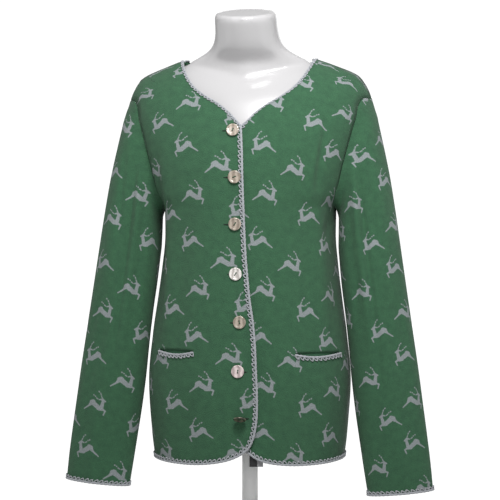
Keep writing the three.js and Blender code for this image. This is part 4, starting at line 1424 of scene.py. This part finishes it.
def between(tree: Tree, share: Socket, first: Link, second: Link) -> Socket:
    """A colour part of the way from the first to the second."""
    links = {0: share, MIX_FIRST: first, MIX_SECOND: second}
    return add_node(tree, "ShaderNodeMix", links, data_type="RGBA").outputs[MIX_RESULT]


def spread(
    tree: Tree, value: Socket, low: float, high: float, to: tuple[float, float] = (0.0, 1.0)
) -> Socket:
    """A value spread from one range to another and held inside it."""
    links = {0: value, 1: low, 2: high, 3: to[0], 4: to[1]}
    return add_node(tree, "ShaderNodeMapRange", links).outputs[0]


def relief(tree: Tree, shader: Node, height: Socket, depth: float, strength: float) -> None:
    """Gives a surface the relief of a height, so many millimetres deep."""
    links = {"Height": height, "Distance": depth * MM, "Strength": strength}
    bump = add_node(tree, "ShaderNodeBump", links)
    tree.links.new(bump.outputs[0], shader.inputs["Normal"])


@dataclass(frozen=True)
class Pearl:
    """A mother-of-pearl finish: its deeper and lighter colour, and how rough it is."""

    deep: str
    light: str
    roughness: float


PEARLS = {
    Shell.TAUPE: Pearl("#7d7265", "#a2978a", 0.32),
    Shell.SAND: Pearl("#796e62", "#9e9385", 0.34),
    Shell.WHITE: Pearl("#a39e99", "#d6d1cd", 0.2),
    Shell.ROSE: Pearl("#9a8c8a", "#cbbcba", 0.2),
    # The shaded olive is partly the shell's own dark tint and partly painted shade of a face tipped down.
    Shell.OLIVE: Pearl("#35322a", "#5c5647", 0.28),
}


@dataclass(frozen=True)
class WoolColours:
    """Yarns of the knit: two greens, and the grey of the motif clean and under green fibres.

    The fuzz is how far fibres blur the motif's edges, in millimetres, and the shade how bright the
    green is between its fibres.
    """

    green: str = "#305d3f"
    deep_green: str = "#285238"
    grey: str = "#888a90"
    dull_grey: str = "#737c7b"
    fuzz: float = 1.7
    shade: float = 0.66


def wool_material(colours: WoolColours) -> Material:
    """Boiled wool: two-colour jacquard knit, shrunk until the stitches close into matt felt."""
    surface = {"Roughness": 0.95, "Sheen_Weight": 0.04, "Sheen_Roughness": 0.6}
    material, tree, shader = new_material("felted_wool", **surface)
    place = cut_place(tree)
    fibres = noise(tree, place, scale=0.85, detail=2.0, colour=True)
    fuzz = (colours.fuzz, colours.fuzz, 0.0)
    moved = add_node(tree, "ShaderNodeVectorMath", {0: fibres, 1: fuzz, 2: place}, operation="MULTIPLY_ADD")
    share = spread(tree, stag_distance(tree, moved.outputs[0]), low=0.55, high=-0.35)
    worn = spread(tree, noise(tree, place, scale=0.7, detail=3.0), low=0.28, high=0.62, to=(0.7, 1.0))
    motif = add_node(tree, "ShaderNodeMath", {0: share, 1: worn}, operation="MULTIPLY").outputs[0]
    blotches = spread(tree, noise(tree, place, scale=0.09, detail=3.0), low=0.3, high=0.7)
    specks = spread(tree, noise(tree, place, scale=0.55, detail=5.0), low=0.25, high=0.75)
    green = between(tree, blotches, linear(colours.deep_green), linear(colours.green))
    darker = add_node(tree, "ShaderNodeHueSaturation", {"Value": colours.shade, "Color": green}).outputs[0]
    ground = between(tree, specks, darker, green)
    pale = between(tree, specks, linear(colours.dull_grey), linear(colours.grey))
    tree.links.new(between(tree, motif, ground, pale), shader.inputs["Base Color"])
    relief(tree, shader, noise(tree, place, scale=0.6, detail=5.0), depth=1.6, strength=0.6)
    return material


def object_place(tree: Tree, scale: float) -> Socket:
    """The place on the part, in millimetres times the scale."""
    own = add_node(tree, "ShaderNodeTexCoord", {})
    return scaled(tree, own.outputs["Object"], scale / MM)


def mottled_material(
    name: str, deep: str, light: str, scale: float, relief_depth: float = 0.0, **surface: Link
) -> Material:
    """A surface of two colours mixed by soft noise, with the noise's relief where it has a depth."""
    material, tree, shader = new_material(name, **surface)
    height = noise(tree, object_place(tree, scale), scale=1.0, detail=4.0)
    colour = between(tree, spread(tree, height, low=0.3, high=0.7), linear(deep), linear(light))
    tree.links.new(colour, shader.inputs["Base Color"])
    if relief_depth:
        relief(tree, shader, height, relief_depth, strength=0.6)
    return material


def pearl_material(name: str, pearl: Pearl) -> Material:
    """Polished shell cut across its layers, so that they show as wavy bands."""
    surface = {"Roughness": pearl.roughness, "Coat_Weight": 0.7, "Coat_Roughness": 0.08}
    material, tree, shader = new_material(name, **surface)
    place = object_place(tree, scale=0.22)
    bands = {"Vector": place, "Scale": 0.16, "Distortion": 9.0, "Detail": 3.0, "Detail Scale": 0.8}
    layers = add_node(tree, "ShaderNodeTexWave", bands)
    share = spread(tree, layers.outputs[1], low=0.1, high=0.9)
    colour = between(tree, share, linear(pearl.deep), linear(pearl.light))
    tree.links.new(colour, shader.inputs["Base Color"])
    return material


def ribbon_material() -> Material:
    """Woven polyester ribbon, black for its first part and grey for the rest, with fine cross threads."""
    material, tree, shader = new_material("label_ribbon_weave", Roughness=0.6)
    place = cut_place(tree)
    sides = add_node(tree, "ShaderNodeSeparateXYZ", {0: place})
    beyond = {0: sides.outputs[0], 1: LABEL_BLACK}
    grey = add_node(tree, "ShaderNodeMath", beyond, operation="GREATER_THAN").outputs[0]
    colour = between(tree, grey, linear("#17171a"), linear("#8d8d90"))
    tree.links.new(colour, shader.inputs["Base Color"])
    threads = add_node(tree, "ShaderNodeTexWave", {"Vector": place, "Scale": 0.6}, bands_direction="Y")
    relief(tree, shader, threads.outputs[1], depth=0.15, strength=0.5)
    return material


@dataclass(frozen=True)
class Grain:
    """How the knit's repeat lies on one piece of cloth.

    Where the repeat starts, how wide and tall it is there, how far its columns and rows slant, and
    how far the columns bow, for each 100 millimetres squared from the waist.
    """

    across: float = 0.0
    down: float = 0.0
    wide: float = REPEAT_WIDE
    tall: float = REPEAT_TALL
    slant: float = 0.0
    tilt: float = 0.0
    bow: float = 0.0

    def lay(self, cut: Array) -> Array:
        """Places on the flat cloth moved so that the repeat starts, leans and bows as it should."""
        u, v = cut[..., 0], cut[..., 1]
        waist = v + GRAIN_WAIST
        across = u + self.slant * waist + self.bow * (waist / 100) ** 2 - self.across
        down = v + self.tilt * u - self.down
        return np.stack([across * REPEAT_WIDE / self.wide, down * REPEAT_TALL / self.tall], axis=-1)


GRAINS = {
    "front_right": Grain(47.4, 73.5, 126, 147.5, 0.06, -0.042, 0.085),
    "front_left": Grain(28.9, 71.7, 115, 147.2, -0.017, 0.077, -1.05),
    "back": Grain(20, 10),
    "sleeve_right": Grain(-25.1, 106, 120, 147.5, 0.055),
    "sleeve_left": Grain(-72.3, -59.1, 108, 137.1, -0.034),
}


@dataclass
class Finishes:
    """Every material of the part, made once."""

    def __post_init__(self) -> None:
        self.wool = wool_material(WoolColours())
        self.yarn = mottled_material(
            "edging_wool", "#74777b", "#a2a5aa", 0.9, 0.4, Roughness=0.9, Sheen_Weight=0.3
        )
        # Buttonhole slits: a near-black green of painted shade, laid on the cloth where the slits open.
        self.hole = mottled_material("slit_shade", "#0b130e", "#16241b", 1.0, Roughness=1.0)
        self.thread = mottled_material("sewing_wool", "#1f4630", "#2f5a3f", 1.5, 0.2, Roughness=0.9)
        self.ribbon = ribbon_material()
        lacquer = {"Roughness": 0.22, "Coat_Weight": 0.5, "Coat_Roughness": 0.16}
        self.gloss = mottled_material("gloss_lacquer", "#abaaab", "#afaeaf", 0.004, **lacquer)
        self.pole = mottled_material("pole_lacquer", "#ececec", "#f2f2f2", 0.02, Roughness=0.4)
        self.enamel = mottled_material("base_enamel_coat", "#e3e2e1", "#e9e8e7", 0.01, Roughness=0.35)
        self.pearls = {
            shell: pearl_material(f"pearl_{shell.value}", pearl) for shell, pearl in PEARLS.items()
        }


def dress(made: Piece, material: Material, slot: str, *nodes: str) -> Piece:
    """Gives a piece its material, and lets it stand for its solids."""
    made.data.materials.append(material)
    if nodes:
        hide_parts(*nodes)
    return made


@dataclass
class Cardigan:
    """The garment: cloth, edgings, pockets, buttons with their holes, and the label.

    Its method build makes everything. The others each make one kind of piece.
    """

    finishes: Finishes
    stitch: BlanketStitch
    form: Piece

    def build(self) -> None:
        """Makes the whole garment."""
        back = back_panel()
        edgings = [self.back_neck(back), self.back_hem(back)]
        self.panel(back, grid_faces(*back.grid.shape[:2]), (0.43, 0.65), edgings)
        fronts = {
            Hand.RIGHT: front_panel("front_right", UPPER_EDGE, UPPER_HEM, -1),
            Hand.LEFT: front_panel("front_left", LOWER_EDGE, LOWER_HEM, 1),
        }
        for hand, front in fronts.items():
            self.sleeve(hand, front, back)
            slit, faces = with_slit(front, POCKETS[hand])
            pieces = [self.front_edging(hand, front), self.pocket_edging(hand, front)]
            if hand is Hand.RIGHT:
                pieces += self.buttons(front)
            cloth = self.panel(slit, faces, (0.24, 0.66), pieces)
            self.bag(hand, front)
        self.label(fronts[Hand.LEFT])

    def panel(self, panel: Panel, faces: Array, flat: tuple[float, float], pieces: list[Piece]) -> Piece:
        """A body panel as a thin shell."""
        normals = panel.normal(panel.grid)
        points = (panel.at(panel.grid) - normals * seam_dip(panel)[..., None]).reshape(-1, 3)
        normals = normals.reshape(-1, 3)
        cut = GRAINS[panel.name].lay(panel.cut(panel.grid)).reshape(-1, 2)
        made = make_object(f"{panel.name}_cloth", points, facing(points, faces, normals), cut)
        thicken(made, CLOTH)
        dress(made, self.finishes.wool, "wool_knit", panel.name)
        return made

    def sleeve(self, hand: Hand, front: Panel, back: Panel) -> None:
        """A sleeve as a thin shell, and its cuff's edging."""
        name = f"sleeve_{hand.value}"
        shape = SLEEVES[hand]
        rows = shape.rows(front, back)
        count, around, _ = rows.shape
        seam = np.concatenate([np.arange(around * 3 // 4, around), np.arange(around * 3 // 4 + 1)])
        opened = rows[:, seam]
        unrolled = opened.reshape(-1, 3)
        cut = GRAINS[name].lay(sleeve_cut(opened) * [-shape.sign, 1])
        axis = rows.mean(axis=1, keepdims=True)
        out = (rows - axis)[:, seam].reshape(-1, 3)
        faces = facing(unrolled, grid_faces(count, len(seam)), out)
        made = make_object(f"{name}_cloth", unrolled, faces, cut.reshape(-1, 2))
        weld = made.modifiers.new("underarm_seam", "WELD")
        weld.merge_threshold = WELD_REACH * MM
        thicken(made, CLOTH)
        dress(made, self.finishes.wool, "wool_knit", name)
        border = Border(rows[-1], unit((rows - axis)[-1]), rows[-2])
        cuff = self.edging(f"cuff_{hand.value}", border, f"edging_cuff_{hand.value}", closed=True)

    def edging(self, name: str, border: Border, node: str, closed: bool = False) -> Piece:
        """One stitched edging."""
        made = self.stitch.build(f"stitched_{name}", border, closed)
        return dress(made, self.finishes.yarn, "edging_yarn", node)

    def front_edging(self, hand: Hand, panel: Panel) -> Piece:
        """The edging of a front's hem, corner, edge and neckline."""
        return self.edging(f"front_{hand.value}", front_border(panel), f"edging_front_{hand.value}")

    def back_neck(self, panel: Panel) -> Piece:
        """The edging of the back of the neck."""
        columns = np.arange(SHOULDER_COLUMNS_BACK, COLUMNS_BACK - SHOULDER_COLUMNS_BACK + 1)
        border = row_border(panel, -1, -2, columns)
        border = replace(border, size=np.full(len(columns), NECK_SIZE))
        return self.edging("back_neck", border, "edging_back_neck")

    def back_hem(self, panel: Panel) -> Piece:
        """The edging of the back hem."""
        border = row_border(panel, 0, 1, np.arange(COLUMNS_BACK + 1))
        return self.edging("back_hem", border, "edging_back_hem")

    def pocket_edging(self, hand: Hand, panel: Panel) -> Piece:
        """The edging of a pocket's lower lip."""
        border = pocket_border(panel, POCKETS[hand])
        return self.edging(f"pocket_{hand.value}", border, f"edging_pocket_{hand.value}")

    def bag(self, hand: Hand, panel: Panel) -> None:
        """The pocket bag, pressed flat against the inside of its front."""
        pocket = POCKETS[hand]
        x = np.linspace(pocket.start - POCKET_MARGIN, pocket.end + POCKET_MARGIN, BAG_COLUMNS)
        z = np.linspace(pocket.z + 2 * POCKET_MARGIN, pocket.z - POCKET_BAG_DEPTH, BAG_ROWS)
        places = locate(crossed(x, z))
        points = panel.at(places, -CLOTH - SEAM_GAP)
        faces = facing(points, grid_faces(len(z), len(x)), panel.normal(places))
        made = make_object(f"pocket_bag_{hand.value}_cloth", points, faces)
        thicken(made, BAG_THICK)
        dress(made, self.finishes.thread, "wool_knit", f"pocket_bag_{hand.value}")

    def buttons(self, panel: Panel) -> list[Piece]:
        """The buttons, the thread through them and their buttonholes."""
        pattern = button_mesh()
        local = np.empty(len(pattern.vertices) * 3, dtype=np.float32)
        pattern.vertices.foreach_get("co", local)
        pieces = []
        for k, row in enumerate(BUTTONS, start=1):
            point, normal = place_on(panel, row.x, row.z)
            lean = math.radians(row.tip)
            middle = point + normal * (row.seat + BUTTON_FOOT * math.sin(lean))
            axes = frame_along(normal, row.tip, row.turn)
            mesh = pattern.copy()
            placed = local.reshape(-1, 3) @ axes.T + middle * MM
            mesh.vertices.foreach_set("co", placed.astype(np.float32).ravel())
            mesh.update()
            made = bpy.data.objects.new(f"pearl_button_{k}", mesh)
            bpy.context.scene.collection.objects.link(made)
            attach(made, BODY_NAME)
            dress(made, self.finishes.pearls[row.shell], "pearl_button", f"button_{k}")
            pieces += [made, self.button_thread(k, axes, middle), self.buttonhole(k, panel, row)]
        return pieces

    def button_thread(self, k: int, axes: Array, middle: Array) -> Piece:
        """Two strands of thread from one hole of a button to the other."""
        t = np.linspace(-1, 1, STRAND_POINTS)
        height = STRAND_LOW + STRAND_RISE * (1 - t**4)
        strands = [vectors(t * BUTTON_SPREAD, offset, height) for offset in STRAND_OFFSETS]
        centres = np.stack(strands) @ axes.T + middle
        up = np.broadcast_to(axes[:, 2] + 0 * centres, centres.shape)
        made = make_object(f"button_thread_{k}", *tubes(centres, up, STRAND_RADIUS, STRAND_SIDES))
        return dress(made, self.finishes.thread, "wool_knit")

    def buttonhole(self, k: int, panel: Panel, row: Button) -> Piece:
        """The slit of a buttonhole: a dark sliver of painted shade on the cloth, thickest in its middle."""
        start, end = sorted([row.x + row.slit, row.x + math.copysign(SLIT_START, row.slit)])
        x = np.linspace(start, end, SLIT_POINTS)
        t = np.linspace(0, 1, SLIT_POINTS)
        radius = SLIT_THIN + SLIT_THICK * np.sin(np.pi * t) ** 0.5
        places = locate(np.stack([x, np.full_like(x, row.z - SLIT_BELOW)], axis=-1))
        slit = tubes(panel.at(places, SLIT_LIFT)[None], panel.normal(places)[None], radius, SLIT_SIDES)
        made = make_object(f"buttonhole_{k}", *slit)
        return dress(made, self.finishes.hole, "wool_knit")

    def label(self, panel: Panel) -> None:
        """The blank ribbon that hangs from the inside of the lower front's corner."""
        x = np.linspace(LABEL_FROM, LABEL_TO, LABEL_COLUMNS)
        z = np.linspace(LABEL_TOP, LABEL_LOW, LABEL_ROWS)
        flat = crossed(x, z)
        across, down = flat.T
        places = locate(flat)
        free = (LABEL_TOP - down) / (LABEL_TOP - LABEL_LOW)
        curl = LABEL_CURL * np.sin((across - LABEL_FROM) * LABEL_WAVE) * free
        points = panel.at(places, -CLOTH - 2 * SEAM_GAP - LABEL_CURL + curl)
        faces = facing(points, grid_faces(len(z), len(x)), panel.normal(places))
        made = make_object("label_ribbon", points, faces, np.stack([across - LABEL_FROM, down], axis=-1))
        thicken(made, LABEL_THICK)
        dress(made, self.finishes.ribbon, "label_ribbon", "care_label")


@dataclass
class DressForm:
    """The glossy torso with its neck cap, its pole and its round base."""

    finishes: Finishes

    def torso(self) -> Piece:
        """Torso and neck, melted into one smooth skin."""
        made = make_object("form_skin", *combined([capped(torso_rings()[::-1]), capped(neck_rings())]))
        melt = made.modifiers.new("one_skin", "REMESH")
        melt.mode = "VOXEL"
        melt.voxel_size = FORM_VOXEL * MM
        melt.use_smooth_shade = True
        even = made.modifiers.new("polish", "SMOOTH")
        even.factor = FORM_EVENING
        even.iterations = FORM_SMOOTHING
        return dress(made, self.finishes.gloss, "form_gloss", "form_torso")

    def stand(self) -> None:
        """The pole and the base with its socket."""
        pole = spun(POLE_PROFILE, POLE_SIDES)
        dress(make_object("stand_pole", *pole), self.finishes.pole, "pole_metal", "form_pole")
        base = spun(BASE_PROFILE, BASE_SIDES)
        dress(make_object("stand_base", *base), self.finishes.enamel, "base_enamel", "form_base")


# Studio
CAMERA_TURN = 7.5
CAMERA_AWAY = 2.8
CAMERA_HEIGHT = 0.453
CAMERA_LENS = 126.0
CAMERA_SENSOR = 36.0
CAMERA_CLIP = 60.0
FLOOR_CORNERS = [(-9, -9, 0), (9, -9, 0), (9, 9, 0), (-9, 9, 0)]
SCREEN_CORNERS = [(-4, 8, 0), (4, 8, 0), (4, 8, 4), (-4, 8, 4)]
SCREEN_GLOW = 1.05
SKY_GLOW = 0.4
FLOOR_GLOW = 0.85
POOL_GLOW = 0.1
POOL_EDGE = 0.35
POOL_MOVED = (0.0, 0.65, 0.0)
POOL_SCALE = (0.9, 0.9, 0.9)
KEY_PLACE = (0.22, -1.0, 1.46)
KEY_AIM = (0.03, 0.0, 0.5)
KEY_SIZE = 0.55
KEY_POWER = 25.0


def studio() -> None:
    """The floor, the bright screen far behind, the surroundings and the soft light."""
    flat_stage("floor", FLOOR_CORNERS, floor_paint())
    glow = {"Emission_Color": WHITE, "Emission_Strength": SCREEN_GLOW}
    screen_light, _, _ = new_material("screen_light", Base_Color=BLACK, **glow)
    flat_stage("screen", SCREEN_CORNERS, screen_light)
    world = bpy.data.worlds.new("studio")
    world.use_nodes = True
    sky = world.node_tree.nodes["Background"]
    sky.inputs["Color"].default_value = WHITE
    sky.inputs["Strength"].default_value = SKY_GLOW
    bpy.context.scene.world = world
    bpy.context.scene.view_settings.view_transform = "Standard"
    soft_light("key", KEY_PLACE, KEY_AIM, KEY_SIZE, KEY_POWER)


def floor_paint() -> Material:
    """A pale floor that glows softly, save for a pool before the garment."""
    material, tree, shader = new_material(
        "floor_paint", Base_Color=linear("#b4b4b4"), Roughness=0.9, Emission_Color=WHITE
    )
    place = add_node(tree, "ShaderNodeTexCoord", {}).outputs["Object"]
    links = {"Vector": place, "Location": POOL_MOVED, "Scale": POOL_SCALE}
    moved = add_node(tree, "ShaderNodeMapping", links)
    pool = add_node(tree, "ShaderNodeTexGradient", {"Vector": moved.outputs[0]}, gradient_type="SPHERICAL")
    glow = spread(tree, pool.outputs[1], low=0.0, high=POOL_EDGE, to=(FLOOR_GLOW, POOL_GLOW))
    tree.links.new(glow, shader.inputs["Emission Strength"])
    return material


def flat_stage(name: str, corners: list[Spot], material: Material) -> None:
    """A flat stage piece from its corners."""
    mesh = bpy.data.meshes.new(name)
    mesh.from_pydata(corners, [], [(0, 1, 2, 3)])
    mesh.materials.append(material)
    made = bpy.data.objects.new(name, mesh)
    bpy.context.scene.collection.objects.link(made)


def soft_light(name: str, place: Spot, aim: Spot, size: float, power: float) -> None:
    """A square softbox aimed at a point."""
    lamp = bpy.data.lights.new(name, "AREA")
    lamp.size = size
    lamp.energy = power
    made = bpy.data.objects.new(name, lamp)
    made.location = place
    made.rotation_euler = (Vector(aim) - Vector(place)).to_track_quat("-Z", "Y").to_euler()
    bpy.context.scene.collection.objects.link(made)


def photographer() -> None:
    """The camera at the photograph's place, level with the middle of the garment."""
    turn = math.radians(CAMERA_TURN)
    camera = bpy.data.objects.new("camera", bpy.data.cameras.new("camera"))
    camera.location = (CAMERA_AWAY * math.sin(turn), -CAMERA_AWAY * math.cos(turn), CAMERA_HEIGHT)
    camera.rotation_euler = (RIGHT_ANGLE, 0, turn)
    camera.data.lens = CAMERA_LENS
    camera.data.sensor_width = CAMERA_SENSOR
    camera.data.clip_end = CAMERA_CLIP
    bpy.context.scene.collection.objects.link(camera)
    bpy.context.scene.camera = camera


def main() -> None:
    """Builds the dressed part and its studio."""
    logging.basicConfig(level=logging.INFO, format="%(name)s: %(message)s")
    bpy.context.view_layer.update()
    finishes = Finishes()
    form = DressForm(finishes)
    torso = form.torso()
    form.stand()
    Cardigan(finishes, BlanketStitch(), torso).build()
    studio()
    photographer()


if __name__ == "__main__":
    main()
